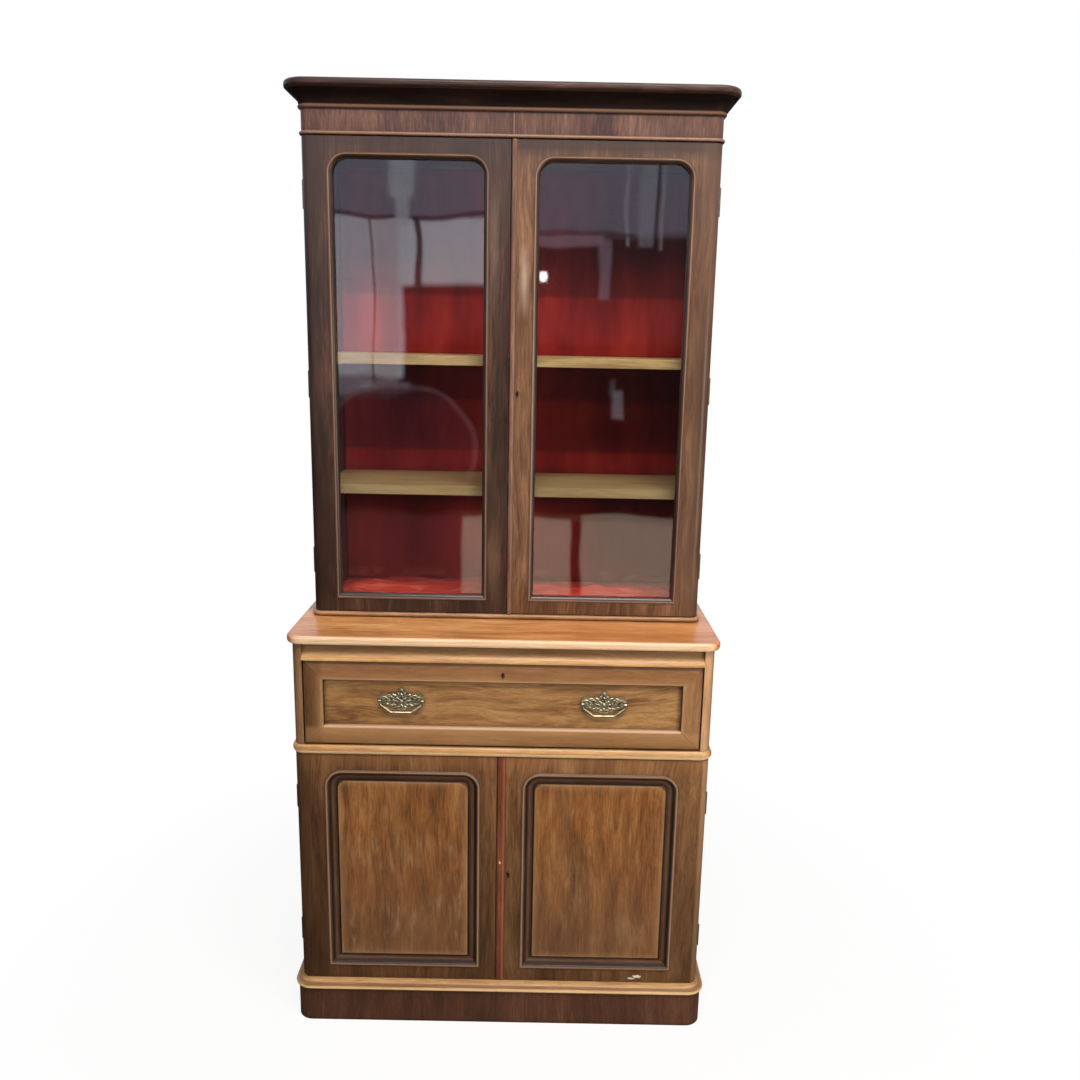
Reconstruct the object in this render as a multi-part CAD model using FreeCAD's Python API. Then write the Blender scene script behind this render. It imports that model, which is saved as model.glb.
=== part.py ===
"""Secretaire bookcase, in millimetres.

A cupboard with a deep secretaire drawer over it, and a glazed bookcase set back on top.
Origin: centre of the footprint, on the floor. Front is -Y, top is +Z, right is +X.
"""
import FreeCAD, Part
import math
import os

V = FreeCAD.Vector
X = V(1, 0, 0)
Y = V(0, 1, 0)
Z = V(0, 0, 1)

# Main sizes
overall_depth = 500.0
lower_width = 1000.0
upper_width = 960.0
upper_setback = 161.0
lower_corner = 25.0
upper_corner = 20.0
overrun = 5.0
join_tolerance = 0.001
round_share = 1 - math.sqrt(0.5)
quarter_turn = 90
full_turn = 360

# Heights, from the floor up
plinth_height = 91.0
plinth_moulding_height = 22.0
lower_door_height = 605.5
lower_door_gap = 1.5
waist_gap = 2.0
waist_height = 22.0
fall_gap = 4.0
fall_height = 208.0
fascia_gap = 2.0
fascia_height = 40.0
slab_thickness = 20.0
base_moulding_height = 12.5
upper_door_gap = 2.0
upper_door_height = 1114.5
frieze_bead_height = 8.0
frieze_height = 48.0
cornice_bead_height = 8.0
cove_height = 31.0
cornice_board = 18.0

# Case boards
side_thickness = 20.0
board_thickness = 18.0
back_thickness = 9.0
back_rebate = 10.0
back_board_count = 6
back_board_gap = 1.0
lining_thickness = 1.5

# Mouldings that wrap round the front and the sides
plinth_projection = 13.0
plinth_thickness = 24.0
plinth_moulding_projection = 20.0
plinth_bead_height = 9.0
plinth_bead_drop = 2.5
plinth_cove_foot = 2.0
plinth_cove_hollow = 4.0
waist_projection = 7.0
waist_flat = 1.5
slab_projection = 12.0
slab_nose = 7.0
base_moulding_projection = 7.0
base_moulding_flat = 2.5
frieze_bead_projection = 5.0
frieze_bead_flat = 2.0
cornice_bead_projection = 6.5
cornice_bead_flat = 3.5
cove_foot = 4.0
cove_lip = 31.0
cove_hollow = 5.0
cornice_projection = 36.0
cornice_nose = 7.0
fascia_projection = 5.0
fascia_lip = 4.0
fascia_recess = 8.0
fascia_hollow = 6.0
fascia_depth = 40.0

# Doors
door_thickness = 24.0
door_seat = 1.0
outer_round_share = 0.9
tenon_length = 28.0
tenon_thickness = 8.0
tenon_shoulder = 6.0

# Upper doors
upper_outer_stile = 59.0
upper_left_inner_stile = 49.0
upper_right_inner_stile = 53.0
upper_meeting_gap = 2.0
upper_bottom_rail = 32.5
upper_top_rail = 34.0
glazing_corner = 45.0
glazing_width = 12.0
glazing_proud = 1.5
glazing_fall = 5.0
glazing_rebate = 12.0
glass_thickness = 3.0
glass_clearance = 0.5
glass_bead_width = 8.0
glass_bead_depth = 7.0
meeting_bead_width = 12.0
meeting_bead_proud = 4.5
meeting_bead_flat = 1.5

# Lower doors
lower_outer_stile = 70.0
lower_inner_stile = 38.5
lower_bottom_rail = 33.5
lower_top_rail = 39.0
meeting_strip_width = 21.0
meeting_strip_left = -11.0
meeting_strip_proud = 1.0
lower_meeting_gap = 1.5
panel_corner = 44.0
panel_moulding_width = 31.0
panel_bead_width = 10.0
panel_bead_proud = 3.5
panel_bead_foot = 0.5
panel_hollow_start = 1.5
panel_hollow_end = 7.0
panel_hollow_rise = 2.5
panel_field_depth = 2.5
panel_field_bevel = 2.0
panel_rebate = 12.0
panel_clearance = 0.5

# Butt hinges
hinge_knuckle = 3.2
hinge_offset = 0.2
hinge_pin = 1.3
pin_clearance = 0.05
hinge_leaf = 1.5
hinge_leaf_width = 14.0
hinge_recess = 0.5
hinge_knuckle_gap = 0.3
upper_hinge_height = 64.0
lower_hinge_height = 58.0
hinge_end_distance = 92.0

# Door locks and slip bolts
lock_beyond = 15.0
lock_height = 52.0
lock_depth = 10.0
door_bolt_height = 14.0
door_bolt_thickness = 4.0
door_bolt_length = 20.0
bolt_travel = 8.0
bolt_clearance = 0.25
bolt_tip_back = 0.4
keyhole_radius = 2.6
keyhole_slot = 2.4
keyhole_drop = 8.0
upper_keyhole_rise = 546.5
lower_keyhole_rise = 296.5
upper_keyhole_inset = 19.0
lower_keyhole_inset = 29.0
bolt_end_room = 1.0
slip_rod = 3.0
slip_length = 76.0
slip_standoff = 8.0
slip_plate_width = 16.0
slip_plate_height = 62.0
slip_plate_drop = 6.0
slip_plate_thickness = 2.0
slip_loop_height = 8.0
slip_loop_depth = 13.0
slip_knob_drop = 44.0
slip_knob = 3.0
slip_knob_length = 7.0
slip_end_gap = 2.0
slip_hole_depth = 11.0

# Bookcase shelves
shelf_thickness = 23.0
shelf_setback = 20.0
shelf_end_gap = 0.8
shelf_back_gap = 0.5
lining_front = 6.0
lower_shelf_rise = 309.0
shelf_spacing = 318.0
peg_radius = 5.0
peg_length = 22.0
peg_hole = 10.0
peg_front = 45.0
peg_back = 60.0

# Cupboard shelf
cupboard_shelf_rise = 307.0
cupboard_shelf_thickness = 18.0
cupboard_shelf_depth = 330.0
cleat_height = 20.0
cleat_width = 16.0

# Secretaire drawer
fall_side_gap = 3.0
fall_board = 18.0
fall_face = 9.0
fall_hinge_rise = 5.0
drawer_side = 18.0
drawer_guide = 9.0
drawer_front_gap = 0.5
drawer_side_drop = 6.0
drawer_floor = 7.5
drawer_side_lip = 0.5
drawer_floor_setback = 6.0
drawer_end_room = 31.5
drawer_back = 12.0
drawer_back_drop = 6.0
dovetail_count = 5
dovetail_wide_share = 0.72
dovetail_narrow_share = 0.5
slide_clearance = 0.3
guide_height = 40.0
guide_front = 20.0
kicker_height = 18.0
kicker_front = 24.0
groove_depth = 5.0

# Frame moulding of the fall
frame_width = 47.0
frame_edge = 3.0
frame_lip = -3.0
frame_lip_width = 7.0
frame_crown = 1.6
frame_step_round = 2.5

# Fall hinges, quadrant stays, lock and leather
fall_knuckle = 2.5
fall_pin = 1.1
fall_hinge_length = 50.0
fall_hinge_spread = 330.0
fall_leaf = 1.5
fall_leaf_width = 20.0
fall_hinge_recess = 6.5
quadrant_radius = 138.0
quadrant_width = 11.0
quadrant_thickness = 3.0
quadrant_slot = 0.3
quadrant_tail_degrees = 2.2
quadrant_room_degrees = 0.6
quadrant_plate_height = 42.0
quadrant_plate_width = 13.0
quadrant_plate_thickness = 1.5
fall_lock_width = 56.0
fall_lock_height = 42.0
fall_lock_depth = 10.0
fall_bolt_width = 24.0
fall_bolt_thickness = 4.0
fall_bolt_length = 22.0
fall_keyhole_drop = 26.0
leather_side = 62.0
leather_foot = 30.0
leather_top = 50.0
leather_thickness = 1.0

# Interior fittings of the secretaire
nest_setback = 168.0
nest_board = 6.0
nest_side_gap = 0.5
nest_top_drop = 3.0
drawer_row_height = 62.0
small_drawer_count = 4
pigeonhole_count = 6
small_gap = 0.5
small_front = 10.0
small_side = 6.0
small_floor = 4.0
small_back_gap = 8.0
small_front_setback = 1.5
small_side_drop = 4.0
small_knob = 6.0
small_knob_length = 11.0
small_knob_neck = 3.0
small_knob_round_share = 1 / 3
valance_height = 20.0
valance_thickness = 4.0
valance_drop = 5.0
partition_setback = 3.0
partition_scoop = 18.0
nest_back_gap = 0.5

# Drop handles on the fall
handle_spread = 241.0
handle_rise = 111.0
plate_half_width = 54.0
plate_top = 31.0
plate_bottom = 26.0
plate_shares = (
    (0.0, 1.0, 0.0),
    (0.14, 0.72, 0.07),
    (0.24, 0.46, -0.05),
    (0.50, 0.50, 0.11),
    (0.58, 0.40, -0.05),
    (0.90, 0.48, 0.13),
    (1.0, 0.08, 0.07),
    (0.84, -0.48, 0.06),
    (0.48, -0.66, -0.05),
    (0.24, -0.78, 0.07),
    (0.0, -1.0, 0.07),
)
piercing_shares = (
    (0.0, 0.14, 0.09),
    (0.27, -0.26, 0.08),
    (0.46, 0.10, 0.08),
    (-0.27, -0.26, 0.08),
    (-0.46, 0.10, 0.08),
)
plate_thickness = 2.0
post_spread = 42.0
post_radius = 5.0
post_length = 12.0
post_end = 5.0
bail_radius = 3.0
bail_pin = 1.8
bail_pin_length = 7.5
bail_arm_gap = 0.6
bail_drop = 29.0
bail_grip_half = 25.0
bail_knee = 9.0
bail_bend = 9.0

# Levels worked out from the heights
z_plinth = plinth_height
z_floor = z_plinth + plinth_moulding_height
z_lower_door = z_floor + lower_door_gap
z_lower_door_top = z_lower_door + lower_door_height
z_waist = z_lower_door_top + waist_gap
z_waist_top = z_waist + waist_height
z_fall = z_waist_top + fall_gap
z_fall_top = z_fall + fall_height
z_fascia = z_fall_top + fascia_gap
z_slab = z_fascia + fascia_height
z_desk = z_slab + slab_thickness
z_base_top = z_desk + base_moulding_height
z_upper_door = z_base_top + upper_door_gap
z_upper_door_top = z_upper_door + upper_door_height
z_frieze_bead = z_upper_door_top + upper_door_gap
z_frieze = z_frieze_bead + frieze_bead_height
z_cornice = z_frieze + frieze_height
z_cove = z_cornice + cornice_bead_height
z_top_board = z_cove + cove_height
z_top = z_top_board + cornice_board

# Planes worked out from the widths and depths
half_lower = lower_width / 2
half_upper = upper_width / 2
y_front = -overall_depth / 2
y_back = overall_depth / 2
y_lower_face = y_front + plinth_moulding_projection
y_upper_face = y_lower_face + upper_setback
y_lower_case = y_lower_face + door_thickness + door_seat
y_upper_case = y_upper_face + door_thickness + door_seat
y_back_board = y_back - back_thickness
in_lower = half_lower - side_thickness
in_upper = half_upper - side_thickness
z_upper_floor = z_desk + board_thickness
z_upper_ceiling = z_frieze_bead - board_thickness
z_dust_top = z_waist + board_thickness
z_lower_shelf = z_upper_floor + lower_shelf_rise
z_upper_shelf = z_lower_shelf + shelf_spacing
z_cupboard_shelf = z_floor + cupboard_shelf_rise
z_upper_keyhole = z_upper_door + upper_keyhole_rise
z_lower_keyhole = z_lower_door + lower_keyhole_rise
z_handle = z_fall + handle_rise


# Small helpers
def box(x0, x1, y0, y1, z0, z1):
    """Board between six planes, whichever way round each pair is given."""
    low = V(min(x0, x1), min(y0, y1), min(z0, z1))
    return Part.makeBox(abs(x1 - x0), abs(y1 - y0), abs(z1 - z0), low)


def rod(start, end, radius):
    """Round rod from one point to another."""
    run = end - start
    return Part.makeCylinder(radius, run.Length, start, run)


def outline(place, start, *steps):
    """Closed outline. A step is a corner (a, b), or an arc (middle a, middle b, end a, end b)."""
    first = place(*start)
    here = first
    edges = []
    for step in steps + (start,):
        there = place(*step[-2:])
        if there.isEqual(here, join_tolerance):
            continue
        if len(step) == 4:
            edges.append(Part.Arc(here, place(*step[:2]), there).toShape())
        else:
            edges.append(Part.LineSegment(here, there).toShape())
        here = there
    return Part.Wire(edges)


def bulge(a0, b0, a1, b1, rise):
    """Arc step to (a1, b1) that bulges to the left of its run by rise."""
    run = math.hypot(a1 - a0, b1 - b0)
    middle_a = (a0 + a1) / 2 - (b1 - b0) / run * rise
    middle_b = (b0 + b1) / 2 + (a1 - a0) / run * rise
    return (middle_a, middle_b, a1, b1)


def prism(wire, run):
    """Solid with the wire's outline, carried along a run."""
    return Part.Face(wire).extrude(run)


def fuse(first, *others):
    """One clean solid out of pieces that are one piece of wood or metal."""
    return first.multiFuse(list(others)).removeSplitter()


def mirrored(shape):
    """The same piece on the other side of the middle plane."""
    return shape.mirror(V(0, 0, 0), X)


def save(name, *shapes):
    """Write one node as loose solids, each a separate physical piece."""
    solids = [solid for shape in shapes for solid in shape.Solids]
    wrong = [solid for solid in solids if not solid.isValid() or solid.Volume <= 0]
    if wrong:
        print("not valid:", name, len(wrong))
    Part.makeCompound(solids).exportStep(os.path.join("parts", name + ".step"))


def round_front(half, face, back, corner, low, high):
    """Board whose two front corners are rounded in plan."""
    inset = corner * round_share
    wire = outline(
        lambda a, b: V(a, b, low),
        (-half, back),
        (half, back),
        (half, face + corner),
        (half - inset, face + inset, half - corner, face),
        (-half + corner, face),
        (-half + inset, face + inset, -half, face + corner),
    )
    return prism(wire, V(0, 0, high - low))


def wrap(start, steps, half, face, case_front, level, corner):
    """Moulding planted round the front and both sides: a front strip and two returns."""
    inset = corner * round_share
    section = outline(lambda out, up: V(-half - out, case_front, level + up), start, *steps)
    left = prism(section, V(0, y_back - case_front, 0))
    path = [V(-half, case_front, level), V(-half, face + corner, level)]
    edges = []
    if not path[0].isEqual(path[1], join_tolerance):
        edges.append(Part.LineSegment(*path).toShape())
        edges.append(Part.LineSegment(V(half, face + corner, level), V(half, case_front, level)).toShape())
    for side in (-1, 1):
        foot = V(side * half, face + corner, level)
        turn = V(side * (half - inset), face + inset, level)
        head = V(side * (half - corner), face, level)
        edges.append(Part.Arc(foot, turn, head).toShape())
    edges.append(Part.LineSegment(V(corner - half, face, level), V(half - corner, face, level)).toShape())
    run = Part.Wire(Part.__sortEdges__(edges))
    front = run.makePipeShell([section], True, False)
    return front, left, mirrored(left)


def ease(board, radius, levels):
    """Round the front and side edges of a board at the given levels, and leave its back square."""
    edges = []
    for edge in board.Edges:
        bounds = edge.BoundBox
        flat = any(abs(bounds.ZMin - z) + abs(bounds.ZMax - z) < join_tolerance for z in levels)
        if flat and bounds.YMin < y_back - join_tolerance:
            edges.append(edge)
    return board.makeFillet(radius, edges)


def nose(flat, projection, height):
    """Half-round section: a flat foot and head with a round front between them."""
    return (0, 0), ((flat, 0), (projection, height / 2, flat, height), (0, height))


# Bookcase: the carcase of the upper part
def upper_hinge_levels():
    """Foot of each hinge of an upper door."""
    low = z_upper_door + hinge_end_distance
    high = z_upper_door_top - hinge_end_distance - upper_hinge_height
    return (low, (low + high) / 2, high)


def lower_hinge_levels():
    """Foot of each hinge of a lower door."""
    return (z_lower_door + hinge_end_distance,
            z_lower_door_top - hinge_end_distance - lower_hinge_height)


def hinge_pocket(side, half, joint, depth, level, height):
    """Wood let out for one hinge: a shallow seat for the leaf and a hollow for the knuckle."""
    seat = box(side * half, side * (half - hinge_leaf_width), joint, joint + depth, level, level + height)
    centre = V(side * (half + hinge_offset), joint - math.copysign(door_seat / 2, depth),
               level - hinge_recess)
    hollow = Part.makeCylinder(hinge_knuckle + hinge_recess, height + hinge_recess + hinge_recess, centre)
    return seat.fuse(hollow)


def peg_places():
    """Centre of each shelf peg's inner end on the right side of the bookcase."""
    places = []
    for top in (z_upper_shelf, z_lower_shelf):
        for y in (y_upper_case + peg_front, y_back_board - peg_back):
            places.append(V(in_upper, y, top - shelf_thickness - peg_radius))
    return places


def upper_sides():
    side = box(in_upper, half_upper, y_upper_case, y_back, z_desk, z_top_board)
    side = side.cut(box(in_upper, in_upper + back_rebate, y_back_board, y_back, z_desk, z_top_board))
    for level in upper_hinge_levels():
        side = side.cut(hinge_pocket(1, half_upper, y_upper_case, hinge_leaf, level, upper_hinge_height))
    for place in peg_places():
        side = side.cut(rod(place, place + X * peg_hole, peg_radius))
    return side, mirrored(side)


def shelf_pegs():
    pegs = []
    for place in peg_places():
        peg = rod(place + X * peg_hole, place + X * (peg_hole - peg_length), peg_radius)
        pegs += [peg, mirrored(peg)]
    return pegs


def shelves():
    half = in_upper - shelf_end_gap
    front = y_upper_case + shelf_setback
    back = y_back_board - lining_thickness - shelf_back_gap
    tops = (z_upper_shelf, z_lower_shelf)
    return [box(-half, half, front, back, top - shelf_thickness, top) for top in tops]


def slip_centre(edge, stile, back):
    """Plan place of a slip bolt: the middle of the stile, behind the door."""
    return V(edge - stile / 2, back + slip_standoff, 0)


def upper_boards():
    bottom = box(-in_upper, in_upper, y_upper_case, y_back_board, z_desk, z_upper_floor)
    top = box(-in_upper, in_upper, y_upper_case, y_back_board, z_upper_ceiling, z_frieze_bead)
    place = slip_centre(-upper_meeting_gap / 2, upper_left_inner_stile, y_upper_face + door_thickness)
    hole_foot = place + Z * (z_upper_ceiling - overrun)
    top = top.cut(rod(hole_foot, place + Z * (z_upper_ceiling + slip_hole_depth), slip_rod + bolt_clearance))
    return bottom, top


def back_boards(half, low, high):
    """Upright boards nailed side by side into the rebates of a case."""
    width = (half + half - back_board_gap * (back_board_count - 1)) / back_board_count
    boards = []
    for i in range(back_board_count):
        left = i * (width + back_board_gap) - half
        boards.append(box(left, left + width, y_back_board, y_back, low, high))
    return boards


def lining():
    back = box(-in_upper, in_upper, y_back_board - lining_thickness, y_back_board,
               z_upper_floor, z_upper_ceiling)
    floor_front = y_upper_case + lining_front
    floor_back = y_back_board - lining_thickness
    floor = box(-in_upper, in_upper, floor_front, floor_back, z_upper_floor, z_upper_floor + lining_thickness)
    return back, floor


def frieze():
    board = round_front(half_upper, y_upper_face, y_upper_case, upper_corner, z_frieze, z_top_board)
    section = nose(frieze_bead_flat, frieze_bead_projection, frieze_bead_height)
    front, left, right = wrap(*section, half_upper, y_upper_face, y_upper_case, z_frieze_bead, upper_corner)
    backing = round_front(half_upper, y_upper_face, y_upper_case, upper_corner, z_frieze_bead, z_frieze)
    return board, fuse(front, backing), left, right


def cornice():
    section = nose(cornice_bead_flat, cornice_bead_projection, cornice_bead_height)
    bead = wrap(*section, half_upper, y_upper_face, y_upper_case, z_cornice, upper_corner)
    hollow = bulge(cove_foot, 0, cove_lip, cove_height, cove_hollow)
    steps = ((cove_foot, 0), hollow, (0, cove_height))
    cove = wrap((0, 0), steps, half_upper, y_upper_face, y_upper_case, z_cove, upper_corner)
    return bead + cove


def cornice_top():
    board = round_front(half_upper + cornice_projection, y_upper_face - cornice_projection, y_back,
                        upper_corner + cornice_projection, z_top_board, z_top)
    return ease(board, cornice_nose, (z_top_board, z_top))


def base_moulding():
    section = nose(base_moulding_flat, base_moulding_projection, base_moulding_height)
    front, left, right = wrap(*section, half_upper, y_upper_face, y_upper_case, z_desk, upper_corner)
    backing = round_front(half_upper, y_upper_face, y_upper_case, upper_corner, z_desk, z_base_top)
    return fuse(front, backing), left, right


# Cupboard: the carcase of the lower part
def lower_sides():
    side = box(in_lower, half_lower, y_lower_case, y_back, z_plinth, z_slab)
    side = side.cut(box(in_lower, in_lower + back_rebate, y_back_board, y_back, z_plinth, z_slab))
    for level in lower_hinge_levels():
        side = side.cut(hinge_pocket(1, half_lower, y_lower_case, hinge_leaf, level, lower_hinge_height))
    return side, mirrored(side)


def dust_board():
    board = box(-in_lower, in_lower, y_lower_case, y_back_board, z_waist, z_dust_top)
    edge = meeting_strip_left - lower_meeting_gap
    place = slip_centre(edge, lower_inner_stile, y_lower_face + door_thickness)
    hole = rod(place + Z * (z_waist - overrun), place + Z * (z_waist + slip_hole_depth),
               slip_rod + bolt_clearance)
    return board.cut(hole)


def desk_top():
    """Show board in front of the bookcase, and the board behind it that the bookcase stands on."""
    half = half_lower + slab_projection
    face = y_lower_face - slab_projection
    board = round_front(half, face, y_back, lower_corner + slab_projection, z_slab, z_desk)
    board = ease(board, slab_nose, (z_slab, z_desk))
    seam = y_upper_face - base_moulding_projection
    show = box(-half - overrun, half + overrun, face - overrun, seam, z_slab - overrun, z_desk + overrun)
    return board.common(show), board.cut(show)


def fall_bolt_depth():
    """Front-to-back middle of the fall's lock bolt."""
    return y_lower_face + fall_face + fall_board - fall_lock_depth / 2


def fascia_rail():
    lip = y_lower_face - fascia_projection
    under = y_lower_face + fascia_recess
    back = y_lower_face + fascia_depth
    lip_top = z_fascia + fascia_lip
    half = half_lower - lower_corner
    section = outline(lambda a, b: V(-half, a, b), (lip, z_fascia), (lip, lip_top),
                      bulge(lip, lip_top, under, z_slab, -fascia_hollow), (back, z_slab), (back, z_fascia))
    rail = prism(section, X * (half + half))
    middle = fall_bolt_depth()
    depth = fall_bolt_thickness / 2 + bolt_clearance
    width = fall_bolt_width / 2 + bolt_clearance
    roof = z_fall_top - bolt_tip_back + bolt_travel + bolt_end_room
    return rail.cut(box(-width, width, middle - depth, middle + depth, z_fascia, roof))


def corner_columns():
    posts = round_front(half_lower, y_lower_face, y_lower_case, lower_corner, z_waist_top, z_slab)
    inner = half_lower - lower_corner
    return posts.cut(box(-inner, inner, y_lower_face - overrun, y_lower_case + overrun, z_waist_top, z_slab))


def waist_moulding():
    section = nose(waist_flat, waist_projection, waist_height)
    front, left, right = wrap(*section, half_lower, y_lower_face, y_lower_case, z_waist, lower_corner)
    backing = round_front(half_lower, y_lower_face, y_lower_case, lower_corner, z_waist, z_waist_top)
    return fuse(front, backing), left, right


def plinth():
    half = half_lower + plinth_projection
    face = y_lower_face - plinth_projection
    corner = lower_corner + plinth_projection
    turn = face + corner
    inner = half - plinth_thickness
    front = round_front(half, face, turn, corner, 0, z_plinth)
    front = front.cut(box(-inner, inner, face + plinth_thickness, turn, 0, z_plinth))
    side = box(inner, half, turn, y_back, 0, z_plinth)
    back = box(-inner, inner, y_back - plinth_thickness, y_back, 0, z_plinth)
    return front, side, mirrored(side), back


def plinth_moulding():
    bead = plinth_moulding_projection
    shoulder = bead - plinth_bead_drop
    steps = (
        (shoulder, 0),
        (bead, plinth_bead_height / 2, shoulder, plinth_bead_height),
        bulge(shoulder, plinth_bead_height, plinth_cove_foot, plinth_moulding_height, plinth_cove_hollow),
        (0, plinth_moulding_height),
    )
    front, left, right = wrap((0, 0), steps, half_lower, y_lower_face, y_lower_case, z_plinth, lower_corner)
    backing = round_front(half_lower, y_lower_face, y_lower_case, lower_corner, z_plinth, z_floor)
    return fuse(front, backing), left, right


def cupboard_shelf():
    half = in_lower - shelf_end_gap
    front = y_back_board - cupboard_shelf_depth
    low = z_cupboard_shelf - cupboard_shelf_thickness
    shelf = box(-half, half, front, y_back_board - shelf_back_gap, low, z_cupboard_shelf)
    cleat = box(in_lower - cleat_width, in_lower, front, y_back_board, low - cleat_height, low)
    return shelf, cleat, mirrored(cleat)


# Hinges
def butt_hinge(side, half, case_front, level, height):
    """Case leaf with its pin, and door leaf, of one brass butt hinge."""
    door_back = case_front - door_seat
    centre = V(side * (half + hinge_offset), case_front - door_seat / 2, level)
    barrel = Part.makeCylinder(hinge_knuckle, height, centre)
    clear = Part.makeCylinder(hinge_knuckle + hinge_knuckle_gap, height, centre)
    third = height / 3
    low = level + third
    high = low + third
    middle = box(centre.x - height, centre.x + height, case_front - height, case_front + height,
                 low + hinge_knuckle_gap, high - hinge_knuckle_gap)
    gap = box(centre.x - height, centre.x + height, case_front - height, case_front + height, low, high)
    inner = side * (half - hinge_leaf_width)
    case_leaf = box(inner, centre.x, case_front, case_front + hinge_leaf, level, level + height)
    case_leaf = case_leaf.cut(clear.common(gap)).fuse(barrel.cut(gap))
    case_leaf = fuse(case_leaf, Part.makeCylinder(hinge_pin, height, centre))
    door_leaf = box(inner, centre.x, door_back - hinge_leaf, door_back, level, level + height)
    foot = box(side * (half + overrun), centre.x, door_back - overrun, door_back, level, low)
    door_leaf = door_leaf.cut(clear.cut(middle)).cut(foot)
    door_leaf = fuse(door_leaf, barrel.common(middle))
    return case_leaf, door_leaf.cut(Part.makeCylinder(hinge_pin + pin_clearance, height, centre))


def hinge_leaves(side, half, case_front, levels, height):
    """Case leaves and door leaves of all the hinges of one door."""
    pairs = [butt_hinge(side, half, case_front, level, height) for level in levels]
    return [pair[0] for pair in pairs], [pair[1] for pair in pairs]


# Doors
def door_blank(hinge_x, free_x, face, low, high, corner):
    """Blank of a door with its hinge-side front edge rounded over."""
    side = math.copysign(1, hinge_x)
    radius = min(corner, door_thickness * outer_round_share)
    inset = radius * round_share
    back = face + door_thickness
    wire = outline(
        lambda a, b: V(a, b, low),
        (free_x, back),
        (hinge_x, back),
        (hinge_x, face + radius),
        (hinge_x - side * inset, face + inset, hinge_x - side * radius, face),
        (free_x, face),
    )
    return prism(wire, V(0, 0, high - low))


def arched(left, right, low, high, radius, y):
    """Upright outline with square feet and rounded upper corners, from the middle of its foot."""
    inset = radius * round_share
    middle = (left + right) / 2
    return outline(
        lambda a, b: V(a, y, b),
        (middle, low),
        (right, low),
        (right, high - radius),
        (right - inset, high - inset, right - radius, high),
        (left + radius, high),
        (left + inset, high - inset, left, high - radius),
        (left, low),
    )


def door_frame(hinge_x, free_x, face, low, high, corner, opening, radius, rebate):
    """Two stiles and two tenoned rails round an opening with a rebate behind it."""
    left, right, foot, head = opening
    back = face + door_thickness
    blank = door_blank(hinge_x, free_x, face, low, high, corner)
    depth = V(0, door_thickness + overrun + overrun, 0)
    blank = blank.cut(prism(arched(left, right, foot, head, radius, face - overrun), depth))
    blank = blank.cut(box(left, right, face + rebate, back + overrun, foot, head))
    outside = (min(hinge_x, free_x), max(hinge_x, free_x))
    zones = ((outside[0], left), (right, outside[1]))
    stiles = [blank.common(box(*zone, face, back, low, high)) for zone in zones]
    middle = (foot + head) / 2
    cheek = (door_thickness - tenon_thickness) / 2
    rails = []
    for rail_low, rail_high, zone_low, zone_high in ((low, foot, low, middle), (head, high, middle, high)):
        rail = blank.common(box(left, right, face, back, zone_low, zone_high))
        for end, way, stile in ((left, -1, 0), (right, 1, 1)):
            reach = min(tenon_length, abs(zones[stile][1] - zones[stile][0]) - overrun - overrun)
            tenon = box(end, end + way * reach, face + cheek, back - cheek,
                        rail_low + tenon_shoulder, rail_high - tenon_shoulder)
            rail = rail.fuse(tenon)
            stiles[stile] = stiles[stile].cut(tenon)
        rails.append(rail.removeSplitter())
    return stiles + rails


def mitred_frame(left, right, foot, head, width, face, start, steps):
    """Four strips of one section, mitred where they meet. A section runs inwards, then backwards."""
    sides = (
        (lambda out, back: V(left, face + back, foot + out), X * (right - left),
         (left, foot), (right, foot), (right - width, foot + width), (left + width, foot + width)),
        (lambda out, back: V(left, face + back, head - out), X * (right - left),
         (left, head), (right, head), (right - width, head - width), (left + width, head - width)),
        (lambda out, back: V(left + out, face + back, foot), Z * (head - foot),
         (left, foot), (left, head), (left + width, head - width), (left + width, foot + width)),
        (lambda out, back: V(right - out, face + back, foot), Z * (head - foot),
         (right, foot), (right, head), (right - width, head - width), (right - width, foot + width)),
    )
    strips = []
    for place, run, *corners in sides:
        keep = prism(outline(lambda a, b: V(a, face - width, b), *corners), Y * (width + width))
        strips.append(prism(outline(place, start, *steps), run).common(keep))
    return strips


def arched_moulding(opening, radius, width, face, start, steps):
    """One moulding round an opening: mitred at its feet and turned round its upper corners."""
    left, right, foot, head = opening
    turn = head - radius
    parts = mitred_frame(left, right, foot, head, width, face, start, steps)
    for edge, side in ((left, 1), (right, -1)):
        centre = edge + side * radius
        corner = box(edge, centre, face - width, face + width, turn, head)
        parts = [part.cut(corner) for part in parts]
        section = Part.Face(outline(lambda out, back: V(edge + side * out, face + back, turn), start, *steps))
        parts.append(section.revolve(V(centre, 0, turn), Y, side * quarter_turn))
    return fuse(*parts)


def glazing(opening, face):
    """Moulding in front of a pane, and the square bead that holds the pane from behind."""
    left, right, foot, head = opening
    steps = (bulge(0, -glazing_proud, glazing_width, glazing_fall, -glazing_proud),
             (glazing_width, glazing_rebate), (0, glazing_rebate))
    front = arched_moulding(opening, glazing_corner, glazing_width, face, (0, -glazing_proud), steps)
    pane_back = face + glazing_rebate + glass_thickness
    rear = box(left, right, pane_back, pane_back + glass_bead_depth, foot, head)
    inner = box(left + glass_bead_width, right - glass_bead_width, pane_back - overrun,
                pane_back + glass_bead_depth + overrun, foot + glass_bead_width, head - glass_bead_width)
    return front, rear.cut(inner)


def pane(opening, face):
    left, right, foot, head = opening
    front = face + glazing_rebate
    return box(left + glass_clearance, right - glass_clearance, front, front + glass_thickness,
               foot + glass_clearance, head - glass_clearance)


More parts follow.
